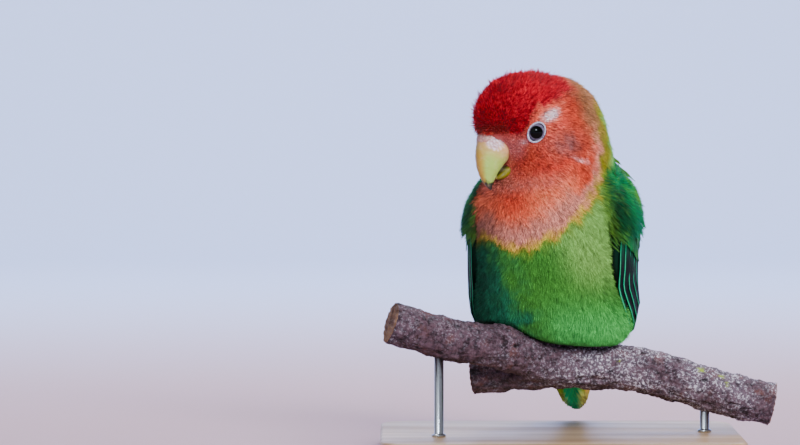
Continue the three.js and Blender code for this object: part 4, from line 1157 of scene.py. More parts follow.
def loose_feathers(seed=171):
    """A few single feathers at the top of the left wing, as the photo shows them."""
    root, tip = (np.array([f[k] for f in LOOSE_FEATHERS], float) for k in (0, 1))
    t = VANE_T[..., None]
    out = unit(np.array([0.75, -0.62, 0.2]))
    centre = mix(root[:, None], tip[:, None], t) + out * (0.5 * np.sin(math.pi * t))
    run = unit(np.gradient(centre, axis=1))
    across = unit(np.cross(np.broadcast_to(out, run.shape), run))
    n = unit(np.cross(run, across))
    width = np.array([f[2] for f in LOOSE_FEATHERS])[:, None]
    half = width / 2 * sample([0.5, 0.9, 1.0, 1.0, 0.9, 0.7, 0.4, 0.06], t[..., 0])
    base = np.asarray(WING_LEAF) * (0.6 + 0.4 * t)
    later = np.array([0, 0.1, 0.7, 0.8, 0.9])[:, None, None]
    base = mix(base, np.asarray(WING_BRIGHT) * (0.75 + 0.3 * t), later)
    colour = linear(base)[:, :, None] * np.ones((1, 1, VANE_COLS, 1))
    return vane_mesh("wing_left_loose", centre, across, n, half, colour, 0.0, seed, curl=0.12)


TAIL_ROOT = np.array([-35, -2, 12.0])
TAIL_TIP = np.array([-66, -4.8, -27.2])
TAIL_ALONG = unit(TAIL_TIP - TAIL_ROOT)
TAIL_SIDE = unit(np.cross(UP, TAIL_ALONG))
TAIL_OVER = unit(np.cross(TAIL_ALONG, TAIL_SIDE))
TAIL_LONG = float(np.linalg.norm(TAIL_TIP - TAIL_ROOT))
TAIL_COUNT = 12
TAIL_GREEN = [0.0, 0.56, 0.36]
TAIL_EDGE = [0.62, 0.60, 0.16]
TAIL_OLIVE = [0.42, 0.52, 0.10]
TAIL_ORANGE = [0.86, 0.36, 0.12]
TAIL_TIP_PALE = [0.80, 0.80, 0.42]
TAIL_BAND = [0.03, 0.05, 0.05]


def tail_point(along, side, over):
    """Place in the tail's own frame, in millimetres along, across and over it from its root."""
    p = TAIL_ROOT + along[..., None] * TAIL_ALONG + side[..., None] * TAIL_SIDE
    return bird_point(p + over[..., None] * TAIL_OVER)


def make_tail(seed=71):
    """The tail's feathers in a narrow fan, barred with orange and dark near the tip."""
    r = np.random.default_rng(seed)
    k = np.linspace(-1, 1, TAIL_COUNT)[:, None]
    t, u = VANE_T, VANE_U
    end = 1.0 - 0.13 * k**2 - 0.012 * k + 0.008 * r.normal(0, 1, (TAIL_COUNT, 1))
    place = TAIL_LONG * mix(0.16, end, t)
    fan = 4.2 * k * mix(0.55, 1, t) - 0.8 * t
    high = 1.7 - 2.3 * np.abs(k) - 0.9 * t * (1 - 0.5 * np.abs(k))
    centre = tail_point(place, fan, high)
    side = np.broadcast_to(TAIL_SIDE @ BIRD_AXES, centre.shape)
    over = np.broadcast_to(TAIL_OVER @ BIRD_AXES, centre.shape)
    half = 3.9 * sample([0.6, 0.85, 1.0, 1.0, 0.98, 0.9, 0.72, 0.2], t) * (1 - 0.12 * np.abs(k))
    off = (fan[..., None] + half[..., None] * u) * np.ones((TAIL_COUNT, VANE_ROWS, 1))
    far, along = np.abs(off + 0.3), t[..., None] * np.ones(off.shape)
    outer = smooth(far, 2.6, 4.4)
    tip = smooth(along - 0.016 * off, 0.88, 0.99) * smooth(far + 2.5 * along, 3.6, 5.0)
    base = paint(np.asarray(TAIL_GREEN) * np.ones(off.shape + (1,)), [
        (TAIL_OLIVE, smooth(far, 2.3, 3.7) * smooth(along, 0.3, 0.6)),
        (TAIL_ORANGE, outer * smooth(along, 0.36, 0.44) * fall(along, 0.56, 0.62)),
        (TAIL_BAND, outer * smooth(along, 0.60, 0.64) * fall(along, 0.68, 0.74) * 0.8),
        (TAIL_ORANGE, smooth(-off, 4.6, 5.6) * smooth(along, 0.74, 0.78) * fall(along, 0.90, 0.95)),
        (TAIL_TIP_PALE, tip * 0.75),
        (TAIL_EDGE, smooth(np.abs(u), 0.6, 1) * smooth(along, 0.5, 0.8) * 0.3),
    ])
    return vane_mesh("tail_feathers", centre, side, over, half, linear(base), 0.0, seed + 1, curl=0.35)


def tail_bed():
    """The closed core of the tail under its feathers."""
    t = np.linspace(0, 0.62, 16)
    f = round_angles(28)
    w = sample([6, 6.3, 6.0, 5.2], t / 0.62)[:, None]
    d = sample([3.5, 2.7, 1.7, 0.7], t / 0.62)[:, None]
    rings = tail_point(TAIL_LONG * t[:, None], w * np.cos(f), d * np.sin(f) - 0.4)
    return closed_core("tail_bed", rings, [0.12, 0.38, 0.18])


# Bill, cere, eyes and lids.

HORN_TOP = [0.80, 0.60, 0.42]
HORN = [0.62, 0.75, 0.34]
HORN_RIDGE = [0.78, 0.50, 0.12]
HORN_TIP = [0.05, 0.07, 0.11]
LOWER_HORN = [0.44, 0.42, 0.06]
# Painted shade along the top of the lower half, under the upper half.
LOWER_HORN_SHADE = [0.20, 0.16, 0.08]
FLAKE_AT = [18.8, -4.0]
FLAKE_SIZE = [2.9, 2.4]
FLAKE = [0.76, 0.64, 0.69]
FLAKE_PINK = [0.66, 0.48, 0.50]
FLAKE_PALE = [0.93, 0.90, 0.96]
FLAKE_RIM = [0.95, 0.88, 0.88]
NOSTRIL_DARK = [0.12, 0.05, 0.07]
CERE_PALE = [0.76, 0.60, 0.54]
CERE_PINK = [0.66, 0.42, 0.40]
CERE_PIT = [0.10, 0.06, 0.06]


def pits(p, at, size, high):
    """1 in the middle of a pit at a place and at its mirror place, 0 outside both."""
    depth = np.zeros(p.shape[:-1])
    for side in SIDE_NAMES:
        reach = length_of((p - at * np.array([1, side, 1])) / size)
        depth = np.maximum(depth, fall(reach, 0.5, high))
    return depth


def make_bill():
    """Upper half with growth lines, a flaky patch at each side and the nostrils, and lower half with
    painted shade along its top, under the upper half.
    """
    rows, sides = 72, 64
    grid = bill_grid("upper", rows, sides)
    t = np.linspace(0, 1, rows)[:, None]
    ridge = (1 + np.cos(round_angles(sides)[None])) / 2
    out = unit(grid - grid.mean(axis=1, keepdims=True))
    wear = 0.05 * waves(grid, 2.2, 41) + 0.03 * np.sin(t * 95 + 2 * ridge) * (1 - t)
    grid = grid + out * (wear * smooth(1 - t, 0.02, 0.2))[..., None]
    bp = in_bill(grid)
    flat = (bp[..., ::2] - FLAKE_AT) / FLAKE_SIZE
    reach = length_of(flat) + 0.16 * waves(grid, 1.1, 44)
    seen = smooth(np.abs(bp[..., 1]), 2.6, 3.6)
    flake = fall(reach, 0.86, 1.02) * seen
    rim = hill((reach, 0.95, 0.09)) * seen * smooth(-flat[..., 1], 0.2, 0.6)
    pit = pits(bp, NOSTRIL_AT, [1.1, 1.1, 0.8], 1.0)
    base = paint(np.asarray(HORN) * np.ones((rows, sides, 1)), [
        (HORN_TOP, fall(t, 0.20, 0.52) * np.ones((1, sides))),
        (HORN_RIDGE, smooth(ridge, 0.72, 0.98) * smooth(t, 0.2, 0.5) * 0.7),
        (HORN_TIP, smooth(t + 0.03 * waves(grid, 1.2, 42), 0.80, 0.92) * 0.92),
        (FLAKE, flake * (0.80 + 0.15 * waves(grid, 0.9, 45))),
        (FLAKE_PINK, flake * smooth(waves(grid, 0.8, 48), 0.30, 0.6) * 0.7),
        (FLAKE_PALE, flake * smooth(waves(grid, 1.0, 49), 0.25, 0.5) * 0.8),
        (FLAKE_RIM, rim * 0.8),
        (NOSTRIL_DARK, pit),
    ])
    grid = grid - out * (0.7 * pit)[..., None]
    upper = turn_out(put_grid("bill_upper_horn", capped(grid), colours=with_ends(base)))
    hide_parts("bill_upper")
    rows, sides = 40, 48
    grid = bill_grid("lower", rows, sides)
    top = np.cos(round_angles(sides))[None] * np.ones((rows, 1))
    base = np.asarray(LOWER_HORN) * (1 + 0.08 * waves(grid, 1.5, 43))[..., None]
    # Painted shade along the top of the lower half, where the upper half overhangs it.
    base = paint(base, [(LOWER_HORN_SHADE, smooth(top, 0.45, 0.85) * 0.85)])
    lower = turn_out(put_grid("bill_lower_horn", capped(grid), colours=with_ends(base)))
    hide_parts("bill_lower")
    return upper, lower


def make_cere():
    """The bare, flaky skin over the base of the bill, with a small pit at each side."""
    middle = head_point(CERE_AT)
    grid = ellipsoid(middle, form_axes(HEAD_AXES, CERE_TILT), CERE_R, 56, 72)
    out = unit(grid - middle)
    pit = pits(in_head(grid), np.array([18.6, 4.5, 1.6]), 1, 1.1)
    grid = grid + out * (0.10 * waves(grid, 1.1, 44) + 0.05 * waves(grid, 0.5, 45) - 0.8 * pit)[..., None]
    base = paint(np.asarray(CERE_PALE) * (1 + 0.10 * waves(grid, 0.8, 46))[..., None], [
        (CERE_PINK, smooth(waves(grid, 1.6, 47), 0.1, 0.6) * 0.6),
        (CERE_PIT, pit),
    ])
    piece = turn_out(put_grid("cere_skin", grid, colours=linear(np.clip(base, 0, 1))))
    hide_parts("cere")
    return piece


def make_eyes():
    """Two eyeballs, each with a ring of small beads round its opening."""
    pieces = []
    f, g = round_angles(120)[:, None], round_angles(16)[None]
    for name, (at, out, long, short) in EYES.items():
        middle = at - out * EYE_SINK
        grid = ellipsoid(middle, np.array([long, short, out]), np.full(3, EYE_RADIUS), 64, 64)
        d = grid - middle
        radial = np.where(d @ out > 0, np.sqrt((d @ long) ** 2 + (d @ short) ** 2), EYE_RADIUS)
        ball = turn_out(put_grid(f"eye_ball_{name}", grid, extra={"radial": radial}))
        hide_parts(f"eye_{name}")
        cos_f, sin_f = np.cos(f)[..., None], np.sin(f)[..., None]
        way = cos_f * long + sin_f * short
        bead = 0.09 * np.abs(np.sin(13 * f)) * smooth(np.cos(g - 0.9), -0.2, 0.8)
        uneven = 1 + 0.22 * np.sin(f - 0.6) + 0.10 * np.sin(5 * f)
        r = LID_ROUND * uneven + bead + 0.03 * np.sin(31 * f + 3 * g)
        middle = at - out * 0.15 + LID_LONG * cos_f * long + LID_SHORT * sin_f * short
        ring = middle + way * (r * 1.15 * np.cos(g))[..., None] + out * (r * np.sin(g))[..., None]
        lid = turn_out(put_grid(f"eyelid_{name}", np.concatenate([ring, ring[:1]])))
        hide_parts(f"eyelids_{name}")
        pieces.append((ball, lid))
    return pieces


# Legs and feet.

# Places along the middle of the branch and of its stub, each with the radius there.
PERCH_AXIS = [
    [73, 1, 16.4, 7.2], [62, 0.6, 18.8, 7.3], [48, 0.2, 23.0, 7.5], [34, 0, 26.9, 7.6],
    [21, 0, 29.3, 7.7], [8, 0, 29.8, 7.5], [-4, -1.2, 31.0, 7.3], [-13, -6, 34.2, 7.4],
    [-20, -11, 37.0, 7.6], [-30, -16, 38.6, 7.1], [-42, -20, 41.0, 7.1], [-58, -24, 46.2, 7.2],
]
STUB_AXIS = [[10, 0.3, 29.4, 6.6], [-4, 1.6, 28.6, 6.6], [-18, 3.2, 27.3, 6.3], [-30, 4.6, 25.9, 5.8]]
LEG_OUT = {1: 13.0, -1: 0.0}
LEG_PATH = np.array([
    [-9, 9, 5.4], [-13, 4.5, 5], [-15.8, -0.5, 3.6], [-16.4, -3.6, 2.4], [-14.6, -5.2, 1.8], [-12, -5, 1.6],
    [-9.6, -4.2, 1.6],
])
FOOT_ANGLE = -62
TOES = [
    # sideways offset at root and tip, angle of the tip round the perch, thickness
    (-1.3, -2.8, 14, 1.25),
    (1.3, 3.2, 18, 1.35),
    (-1.3, -3.4, -106, 1.15),
    (1.3, 4.0, -116, 1.3),
]
TOE_GREY = [0.56, 0.55, 0.56]
CLAW_DARK = [0.16, 0.14, 0.14]


def toe_path(side, toe, t, claw):
    """Stations round the perch, t along the toe and claw past its end."""
    off0, off1, to = toe[:3]
    towards = np.sign(to - FOOT_ANGLE)
    angle = (mix(FOOT_ANGLE, to, t) + towards * 24 * claw) * DEG
    off = mix(off0, off1, t) * side
    x = BIRD_AT[0] + (LEG_OUT[side] + off) * BIRD_AXES[1][0]
    fine = through(PERCH_AXIS, np.linspace(0, 1, 800))
    here = np.argmin(np.abs(fine[None, :, 0] - x[:, None]), axis=1)
    axis = fine[here]
    along = unit(np.gradient(fine[:, :3], axis=0))[here]
    out = np.stack([0 * angle, -np.sin(angle), np.cos(angle)], axis=-1)
    bark = axis[:, 3] / np.sqrt(1 - dot(along, out)[:, 0] ** 2)
    stub = through(STUB_AXIS, np.linspace(0, 1, 400))
    close = stub[np.argmin(np.abs(stub[None, :, 0] - x[:, None]), axis=1)]
    d = close[:, :3] - axis[:, :3]
    d[:, 0] = 0
    a = dot(d, out)[:, 0]
    inside = close[:, 3] ** 2 - dot(d, d)[:, 0] + a**2
    reach = np.where((inside > 0) & (np.abs(close[:, 0] - x) < 1), a + np.sqrt(np.maximum(inside, 0)), 0)
    bark = np.maximum(bark, reach) * 1.045 + 0.3
    return axis[:, :3], out, bark

def make_feet():
    """Toes with scutes and claws round the perch, and the shanks above them."""
    pieces = []
    for side, label in SIDE_NAMES.items():
        toes, claws = [], []
        for toe in TOES:
            t = np.linspace(0, 1, 46)
            at, out, bark = toe_path(side, toe, t, 0 * t)
            joint = 1 + 0.10 * np.cos(t * 6 * math.pi)
            scute = 1 + 0.035 * np.abs(np.sin(t * 44))
            r = toe[3] * joint * mix(1.1, 0.9, t)
            path = at + out * (bark + r)[:, None]
            toes.append(capped(tube(path, r * scute, 18, ACROSS)))
            c = np.linspace(0, 1, 14)
            at, out, bark = toe_path(side, toe, np.ones(14), c)
            r = mix(0.95, 0.12, c**0.8)
            path = at + out * (bark + r + 0.25 + 0.5 * np.sin(math.pi * c))[:, None]
            claws.append(capped(tube(path, r, 12, ACROSS)))
        foot = join_grids(f"foot_{label}_toes", toes, linear(TOE_GREY))
        claw = join_grids(f"foot_{label}_claws", claws, linear(CLAW_DARK))
        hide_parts(f"foot_{label}")
        run = through(LEG_PATH, np.linspace(0, 1, 40))
        path = bird_point(np.stack([run[:, 0], np.full(40, LEG_OUT[side]), run[:, 1]], axis=-1))
        rings = 1 + 0.05 * np.abs(np.sin(np.linspace(0, 40, 40)))
        shank = capped(tube(path, run[:, 2] * 0.92 * rings, 24, ACROSS))
        leg = join_grids(f"shank_{label}", [shank], linear(TOE_GREY))
        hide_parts(f"leg_{label}")
        pieces.append((foot, claw, leg))
    return pieces


def join_grids(name, grids, colour):
    """One piece of several closed tubes, its colour a little mottled."""
    verts, faces, start = [], [], 0
    for grid in grids:
        verts.append(grid.reshape(-1, 3))
        faces.append(grid_faces(grid.shape[0], grid.shape[1]) + start)
        start += grid.shape[0] * grid.shape[1]
    verts = np.concatenate(verts)
    tone = 1 + 0.12 * waves(verts, 1.2, 61)
    return turn_out(put_mesh(name, verts, np.concatenate(faces), colours=colour * tone[:, None]))


# Branch and stand.

def perch_top(x):
    """Height of the top of the bark along the perch."""
    fine = through(PERCH_AXIS, np.linspace(1, 0, 160))
    return np.interp(x, fine[:, 0], fine[:, 2] + fine[:, 3])


def rest_on_perch(p):
    """Raise the underside of the belly, in front of the perch, softly to the top of its bark."""
    level = perch_top(p[..., 0]) - 0.5
    over = (p[..., 2] - level) / 1.4
    lift = level + 1.4 * np.logaddexp(0, over) - p[..., 2]
    share = fall(p[..., 1], -3, 5)
    return p + UP * (lift * share)[..., None]


def perch_shade(p):
    """Soft shade in the coat where it meets the perch."""
    above = smooth(p[:, 2] - perch_top(p[:, 0]), -2.5, 1.2)
    front = fall(p[:, 1], -3, 5)
    return mix(0.35, 1, smooth(perch_gap(p), 0.3, 2.0)) * mix(1, mix(0.25, 1, above), front)


def perch_gap(p):
    """Distance of places from the bark of the perch."""
    fine = through(PERCH_AXIS, np.linspace(0, 1, 160))
    gap = np.full(len(p), 99.0)
    for part in np.array_split(np.arange(len(p)), max(1, len(p) // 4000)):
        d = length_of(p[part][:, None] - fine[None, :, :3]) - fine[:, 3]
        gap[part] = d.min(axis=1)
    return gap


CAP_RINGS = 14


def branch_grid(axis, rows, sides, seed):
    """Rings along the branch with knobs, lengthwise bark folds, cross wrinkles and sawn ends."""
    t = np.linspace(0, 1, rows)[:, None]
    run = through(axis, t[:, 0])
    f = round_angles(sides)
    knobs = 1 + 0.022 * np.sin(3 * f + 23 * t) + 0.018 * np.sin(2 * f - 41 * t)
    grid = tube(run[:, :3], run[:, 3], sides, UP, knobs)
    out = unit(grid - run[:, None, :3])
    along = unit(np.gradient(run[:, :3], axis=0))
    stretch = grid - along[:, None] * (0.72 * dot(grid, along[:, None]))
    folds = 0.20 * waves(stretch, 2.6, seed) + 0.10 * waves(stretch, 1.1, seed + 1)
    pits = -0.22 * smooth(waves(grid, 1.7, seed + 2), 0.42, 0.8)
    bulges = 0.28 * waves(grid, 9.0, seed + 3)
    grid = grid + out * (folds + pits + bulges)[..., None]
    ends = []
    for row, way in ((0, -1), (-1, 1)):
        middle = grid[row].mean(axis=0)
        rings = []
        for k in np.linspace(0.97, 0, CAP_RINGS):
            ring = middle + (grid[row] - middle) * k
            saw = 0.10 * waves(ring, 0.8, seed + 5) + 0.10 * np.sin(ring[:, 2] * 3.0)
            push = (0.35 if k > 0.9 else 0.5) + saw * (k > 0.02)
            rings.append(ring + along[row] * way * push[:, None])
        ends.append(np.array(rings))
    return np.concatenate([ends[0][::-1], grid, ends[1]])


BRANCHES = {
    # piece: axis, rings, sides, seed
    "branch_bark": (PERCH_AXIS, 420, 128, 81),
    "stub_bark": (STUB_AXIS, 130, 112, 91),
}
LICHEN_SPOTS = [
    ([48.2, -4.5, 28.4], 1.8),
    ([55.4, -4.0, 26.4], 1.6),
    ([57.2, -6.0, 24.0], 1.0),
    ([20.0, -6.5, 32.0], 0.9),
]


def make_branch():
    """The branch and its stub, with marks where they are sawn and where lichen grows."""
    pieces = []
    for name, (axis, rows, sides, seed) in BRANCHES.items():
        grid = branch_grid(axis, rows, sides, seed)
        cut = np.zeros(grid.shape[:-1])
        cut[:CAP_RINGS] = 1
        cut[-CAP_RINGS:] = 1
        lichen = np.zeros(grid.shape[:-1])
        for spot, reach in LICHEN_SPOTS:
            near = length_of(grid - np.array(spot)) + 0.5 * waves(grid, 1.5, seed + 7)
            lichen = np.maximum(lichen, fall(near, 0.3 * reach, reach))
        piece = turn_out(put_grid(name, grid, extra={"cut": cut, "lichen": lichen}))
        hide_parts("perch")
        pieces.append(piece)
    return pieces


BASE_SIZE = [124, 100, 7]
BASE_CORNER = 12
BASE_EDGE = 1.2
ROD_AT_X = {"left": -42, "right": 50}
ROD_RADII = np.array([1.6, 1.6, 2.3, 2.5, 2.3, 1.7, 1.6, 1.6, 1.4])
ROD_FOOT_Z = [3, 6.9, 7.05, 7.5, 7.9, 8.05, 8.2]


def base_ring(inset, z, scale=1.0):
    """One ring of the base board, with rounded corners."""
    f = round_angles(160)
    quarter = np.floor(f / (math.pi / 2)).astype(int)
    sx, sy = np.array([1, -1, -1, 1])[quarter], np.array([1, 1, -1, -1])[quarter]
    cx, cy = BASE_SIZE[0] / 2 - BASE_CORNER, BASE_SIZE[1] / 2 - BASE_CORNER
    r = BASE_CORNER - inset
    ring = np.stack([sx * cx + r * np.cos(f), sy * cy + r * np.sin(f), np.full(len(f), z)], axis=-1)
    return ring * [scale, scale, 1]


def make_stand():
    """The base board with rounded edges, and the two rods with a small collar at their feet."""
    top, steps, turns = BASE_SIZE[2], np.linspace(0, 1, 8)[:-1], np.linspace(0, 90, 7) * DEG
    rows = [base_ring(BASE_CORNER - 0.01, 0, k) for k in steps]
    rows += [base_ring(BASE_EDGE * (1 - math.sin(k)), BASE_EDGE * (1 - math.cos(k))) for k in turns]
    rows += [base_ring(BASE_EDGE * (1 - math.cos(k)), top - BASE_EDGE * (1 - math.sin(k))) for k in turns]
    rows += [base_ring(BASE_CORNER - 0.01, top, k) for k in steps[::-1]]
    base = turn_out(put_grid("stand_base_board", np.array(rows), flip=True))
    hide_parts("stand_base")
    fine = through(PERCH_AXIS, np.linspace(0, 1, 800))
    rods = []
    for label, x in ROD_AT_X.items():
        end = fine[np.argmin(np.abs(fine[:, 0] - x))]
        z = np.array(ROD_FOOT_Z + [end[2] - 2, end[2] - 1.9])
        path = np.stack([np.full(len(z), end[0]), np.full(len(z), end[1]), z], axis=-1)
        rod = turn_out(put_grid(f"rod_{label}_steel", capped(tube(path, ROD_RADII, 48, ACROSS))))
        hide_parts(f"stand_rod_{label}")
        rods.append(rod)
    return base, rods


# Materials of horn, skin, eye, bark, wood and steel.

def horn_material(name):
    """Horn in thin layers, with growth lines and a little light passing through."""
    n = Nodes(name)
    colour = n.attribute("plumage", "Color")
    mottle = n.noise(420, 4)
    colour = n.blend(colour, rgb([0.93, 0.88, 0.78]), n.step(mottle, 0.5, 0.75, 0, 0.18))
    colour = n.blend(colour, rgb([0.40, 0.34, 0.22]), n.step(n.noise(1500, 3), 0.6, 0.8, 0, 0.25))
    lines = n.noise(700, 3, stretch=(0.35, 0.35, 2.4))
    normal = n.bump(lines, 0.00035, 0.5)
    return n.finish(
        colour, n.step(mottle, 0.3, 0.7, 0.36, 0.55), normal,
        Coat_Weight=0.06, Coat_Roughness=0.3, Subsurface_Weight=0.12, Subsurface_Scale=0.0012,
    )


def plumage_material(name):
    """Short feathers: the colours of the coat, its marks and painted shade, broken up by fine barbs, with a
    soft bloom.
    """
    n = Nodes(name)
    barbs = n.noise(2600, 3, 0.6)
    clumps = n.noise(430, 3, 0.5)
    tone = n.maths("MULTIPLY", n.step(barbs, 0.3, 0.7, 0.84, 1.14), n.step(clumps, 0.3, 0.7, 0.92, 1.08))
    colour = n.blend(n.attribute("plumage", "Color"), tone, 1.0, "MULTIPLY")
    normal = n.bump(barbs, 0.0002, 0.35)
    return n.finish(
        colour, n.step(clumps, 0.3, 0.7, 0.66, 0.8), normal,
        Specular_IOR_Level=0.08, Sheen_Weight=0.06, Sheen_Roughness=0.5,
    )


def skin_material(name, deep, scale, pale=None):
    """Bare skin in small cells: pale, or in the colours of its piece where no pale one is given."""
    n = Nodes(name)
    cells = n.add("TexVoronoi")
    n.put_all(cells, Scale=scale, Vector=n.where)
    base = rgb(pale) if pale else n.attribute("plumage", "Color")
    colour = n.blend(base, rgb(deep), n.step(cells.outputs["Distance"], 0.35, 0.75, 0, 0.5))
    colour = n.blend(colour, rgb([0.92, 0.90, 0.88]), n.step(n.noise(scale * 0.6, 3), 0.58, 0.75, 0, 0.4))
    normal = n.bump(cells.outputs["Distance"], 0.0002, 0.6)
    return n.finish(colour, n.step(n.noise(scale, 3), 0.3, 0.7, 0.45, 0.7), normal)


def eye_material(name):
    """Black pupil, grey-violet iris with fine fibres and a darker rim, under a wet coat."""
    n = Nodes(name)
    radial = n.attribute("radial")
    fibre = n.noise(1400, 4)
    iris = n.blend(rgb([0.42, 0.40, 0.48]), rgb([0.28, 0.26, 0.33]), n.step(fibre, 0.3, 0.7))
    colour = n.blend(rgb([0.008, 0.008, 0.012]), iris, n.step(radial, 2.1, 2.35))
    colour = n.blend(colour, rgb([0.20, 0.19, 0.24]), n.step(radial, 2.75, 3.1))
    return n.finish(colour, 0.18, Coat_Weight=0.16, Coat_Roughness=0.02, Specular_IOR_Level=0.05)


def bark_material(name):
    """Dark purple-brown bark under a pale grey speckle, which thickens towards the bird's left,
    with cracks, a few yellow-green spots of lichen, and sawn wood at the cuts."""
    n = Nodes(name)
    place = n.add("SeparateXYZ")
    n.put(place.inputs[0], n.where)
    broad = n.noise(75, 5, 0.6)
    fine = n.noise(430, 6, 0.7)
    speck = n.noise(1150, 4, 0.7)
    base = n.blend(rgb([0.12, 0.075, 0.095]), rgb([0.35, 0.27, 0.31]), n.step(fine, 0.34, 0.66))
    base = n.blend(base, rgb([0.40, 0.24, 0.20]), n.step(n.noise(160, 4), 0.55, 0.7, 0, 0.5))
    leftwards = n.step(place.outputs["X"], -0.015, 0.008, 0.22, 1.0)
    cover = n.maths("MULTIPLY", n.step(broad, 0.36, 0.60, 0.12, 1.0), leftwards)
    base = n.blend(base, rgb([0.54, 0.50, 0.58]), n.maths("MULTIPLY", cover, 0.28))
    specks = n.maths("MULTIPLY", cover, n.step(speck, 0.50, 0.62, 0, 0.8))
    base = n.blend(base, rgb([0.84, 0.82, 0.90]), specks)
    cracks = n.noise(300, 5, 0.6, stretch=(0.45, 1, 1))
    base = n.blend(base, rgb([0.07, 0.04, 0.05]), n.step(cracks, 0.56, 0.68, 0, 0.85))
    spots = n.maths("MULTIPLY", n.attribute("lichen"), n.step(fine, 0.38, 0.52))
    base = n.blend(base, rgb([0.52, 0.60, 0.20]), spots)
    rings = n.noise(260, 3, stretch=(2.5, 0.6, 0.6))
    sawn = n.blend(rgb([0.56, 0.43, 0.33]), rgb([0.30, 0.21, 0.16]), n.step(rings, 0.35, 0.7))
    colour = n.blend(base, sawn, n.step(n.attribute("cut"), 0.4, 0.9))
    height = n.maths("ADD", fine, n.maths("MULTIPLY", speck, 0.35))
    normal = n.bump(height, 0.0009, 0.8)
    return n.finish(colour, n.step(fine, 0.3, 0.7, 0.62, 0.9), normal, Specular_IOR_Level=0.25)


def wood_material(name):
    """Pale oak with long grain and dark pores along X, under a thin varnish."""
    n = Nodes(name)
    grain = n.noise(60, 5, 0.6, stretch=(0.12, 1.6, 1.6))
    pores = n.noise(520, 4, 0.6, stretch=(0.08, 1.4, 1.4))
    colour = n.blend(rgb([0.74, 0.62, 0.47]), rgb([0.60, 0.47, 0.33]), n.step(grain, 0.35, 0.65))
    colour = n.blend(colour, rgb([0.42, 0.31, 0.21]), n.step(pores, 0.58, 0.72, 0, 0.55))
    rough = n.step(grain, 0.3, 0.7, 0.38, 0.52)
    return n.finish(colour, rough, n.bump(pores, 0.0002, 0.4), Coat_Weight=0.15, Coat_Roughness=0.3)


def steel_material(name):
    """Steel brushed along Z."""
    n = Nodes(name)
    brush = n.noise(900, 3, stretch=(1, 1, 0.04))
    colour = n.blend(rgb([0.80, 0.81, 0.83]), rgb([0.68, 0.69, 0.71]), n.step(brush, 0.35, 0.65))
    return n.finish(colour, n.step(brush, 0.3, 0.7, 0.22, 0.38), n.bump(brush, 0.00004, 0.5), Metallic=1.0)


# The whole bird.

plumage = plumage_material("plumage_soft")
vanes = vane_material("plumage_vanes")
horn = horn_material("bill_horn_layers")
grey_skin = skin_material("foot_scales", [0.34, 0.32, 0.34], 900)
pink_skin = skin_material("cere_flakes", [0.70, 0.55, 0.52], 1400)
white_skin = skin_material("lid_beads", [0.44, 0.45, 0.55], 2200, [0.70, 0.72, 0.82])

skin = make_skin()
dress(skin, plumage)
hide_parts("head", "neck", "torso", "leg_left", "leg_right")
for piece in make_coat():
    dress(piece, plumage)
for side, label in SIDE_NAMES.items():
    bed = wing_bed(side)
    dress(bed, plumage)
    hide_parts(f"wing_{label}")
    dress(wing_tufts(side, 200 + side), plumage)
    for i, row in enumerate(WING_ROWS):
        dress(wing_row(side, row, 100 + 10 * i + side), vanes)
dress(loose_feathers(), vanes)
tail = make_tail()
dress(tail, vanes)
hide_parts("tail")
dress(tail_bed(), plumage)

upper, lower = make_bill()
dress(upper, horn)
dress(lower, horn)
dress(make_cere(), pink_skin)
eye_wet = eye_material("eye_wet")
for ball, lid in make_eyes():
    dress(ball, eye_wet)
    dress(lid, white_skin)
for foot, claw, leg in make_feet():
    dress(foot, grey_skin)
    dress(claw, horn)
    dress(leg, grey_skin)

bark = bark_material("bark_mottled")
for piece in make_branch():
    dress(piece, bark)
base, rods = make_stand()
dress(base, wood_material("stand_oak"))
steel = steel_material("stand_brushed_steel")
for rod in rods:
    dress(rod, steel)


# Set, lights and camera.

CAMERA_TARGET = np.array([-55.2, 0, 79.4])
CAMERA_AWAY = 1500.0
CAMERA_RISE = 2 * DEG
FOCAL_PX = 4350.0
FRAME_PX = 800
SENSOR = 36.0


def make_camera():
    """A camera straight in front, a little raised. The lens is focal pixels / frame pixels x sensor."""
    data = bpy.data.cameras.new("camera")
    data.sensor_width = SENSOR
    data.lens = FOCAL_PX / FRAME_PX * SENSOR
    data.clip_end = 30
    cam = link("camera", data)
    away = np.array([0, -math.cos(CAMERA_RISE), math.sin(CAMERA_RISE)]) * CAMERA_AWAY
    cam.location = (CAMERA_TARGET + away) * MM
    cam.rotation_euler = (90 * DEG - CAMERA_RISE, 0, 0)
    bpy.context.scene.camera = cam


FLOOR_FRONT = -2600
FLOOR_BACK = 1500
SWEEP_RADIUS = 900
WALL_TOP = 4200
FLOOR_HALF_WIDTH = 3600


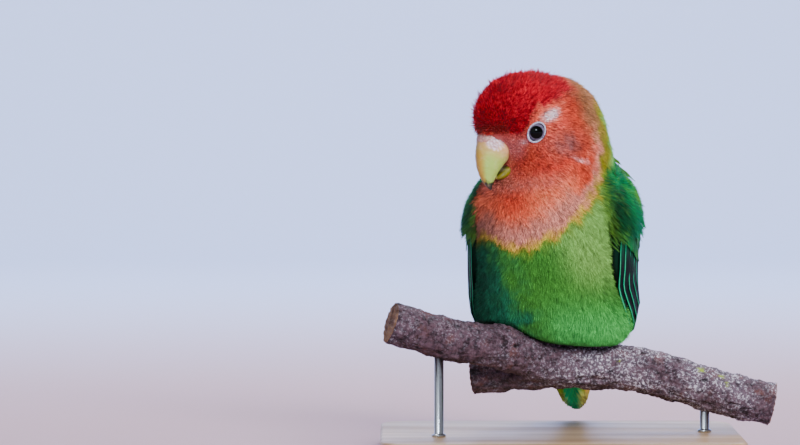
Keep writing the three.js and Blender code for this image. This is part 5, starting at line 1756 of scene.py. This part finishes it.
def make_floor():
    """A flat floor that sweeps up into a backdrop far behind, one sheet."""
    turn = np.linspace(0, 90, 24) * DEG
    flat = np.stack([np.linspace(FLOOR_FRONT, FLOOR_BACK, 12), np.zeros(12)], axis=-1)
    sweep = np.stack([FLOOR_BACK + SWEEP_RADIUS * np.sin(turn), SWEEP_RADIUS * (1 - np.cos(turn))], axis=-1)
    wall_y = float(FLOOR_BACK + SWEEP_RADIUS)
    wall = np.stack([np.full(8, wall_y), np.linspace(SWEEP_RADIUS + 100, WALL_TOP, 8)], axis=-1)
    line = np.concatenate([flat, sweep[1:], wall])
    x, y = np.meshgrid(np.linspace(-FLOOR_HALF_WIDTH, FLOOR_HALF_WIDTH, 9), line[:, 0])
    z = np.broadcast_to(line[:, 1:], x.shape)
    grid = np.stack([x, y, z], axis=-1)
    mesh = bpy.data.meshes.new("studio_floor")
    faces = grid_faces(len(line), 9, around=False)
    mesh.from_pydata((grid.reshape(-1, 3) * MM).tolist(), [], faces.tolist())
    mesh.shade_smooth()
    floor = link("studio_floor", mesh)
    n = Nodes("studio_paper")
    away = n.add("VectorMath", operation="LENGTH")
    n.put(away.inputs[0], n.where)
    far = n.step(away.outputs["Value"], 0.15, 1.3)
    colour = n.blend(rgb([0.72, 0.60, 0.65]), rgb([0.74, 0.81, 1.0]), far)
    colour = n.blend(colour, rgb([0.80, 0.78, 0.84]), n.step(n.noise(900, 3), 0.45, 0.75, 0, 0.12))
    mesh.materials.append(n.finish(colour, 0.9))


BIRD_MIDDLE = (0, 0, 0.08)
BACKDROP_MIDDLE = (0, 2.4, 0.7)
LIGHTS = {
    # name: place, aim, size in metres, power in watts, colour
    "key": ((0.60, -1.28, 0.74), BIRD_MIDDLE, 0.6, 40, (1.0, 0.98, 0.95)),
    "glint": ((-0.38, -1.35, 0.62), BIRD_MIDDLE, 0.30, 14, (0.75, 0.88, 1.0)),
    "fill": ((-1.1, -1.0, 0.5), BIRD_MIDDLE, 1.2, 3.5, (0.88, 0.92, 1.0)),
    "top": ((0.1, 0.5, 1.3), BIRD_MIDDLE, 0.9, 12, (0.95, 0.97, 1.0)),
    "backdrop_wash": ((0, 0.7, 1.8), BACKDROP_MIDDLE, 1.6, 75, (0.93, 0.95, 1.0)),
}
WORLD_COLOUR = (0.72, 0.75, 0.86, 1)
WORLD_STRENGTH = 0.42


def make_lights():
    """Square area lights and an even pale sky. The key light gives no shine, the glint only shine."""
    for name, (at, aim, size, power, colour) in LIGHTS.items():
        data = bpy.data.lights.new(name, "AREA")
        data.size = size
        data.energy = power
        data.color = colour
        lamp = link(name, data)
        lamp.location = at
        lamp.rotation_euler = Vector(np.subtract(aim, at)).to_track_quat("-Z", "Y").to_euler()
        lamp.visible_glossy = name != "key"
        lamp.visible_diffuse = name != "glint"
    world = bpy.data.worlds.new("studio")
    world.use_nodes = True
    back = world.node_tree.nodes["Background"]
    back.inputs["Color"].default_value = WORLD_COLOUR
    back.inputs["Strength"].default_value = WORLD_STRENGTH
    bpy.context.scene.world = world


make_camera()
make_floor()
make_lights()
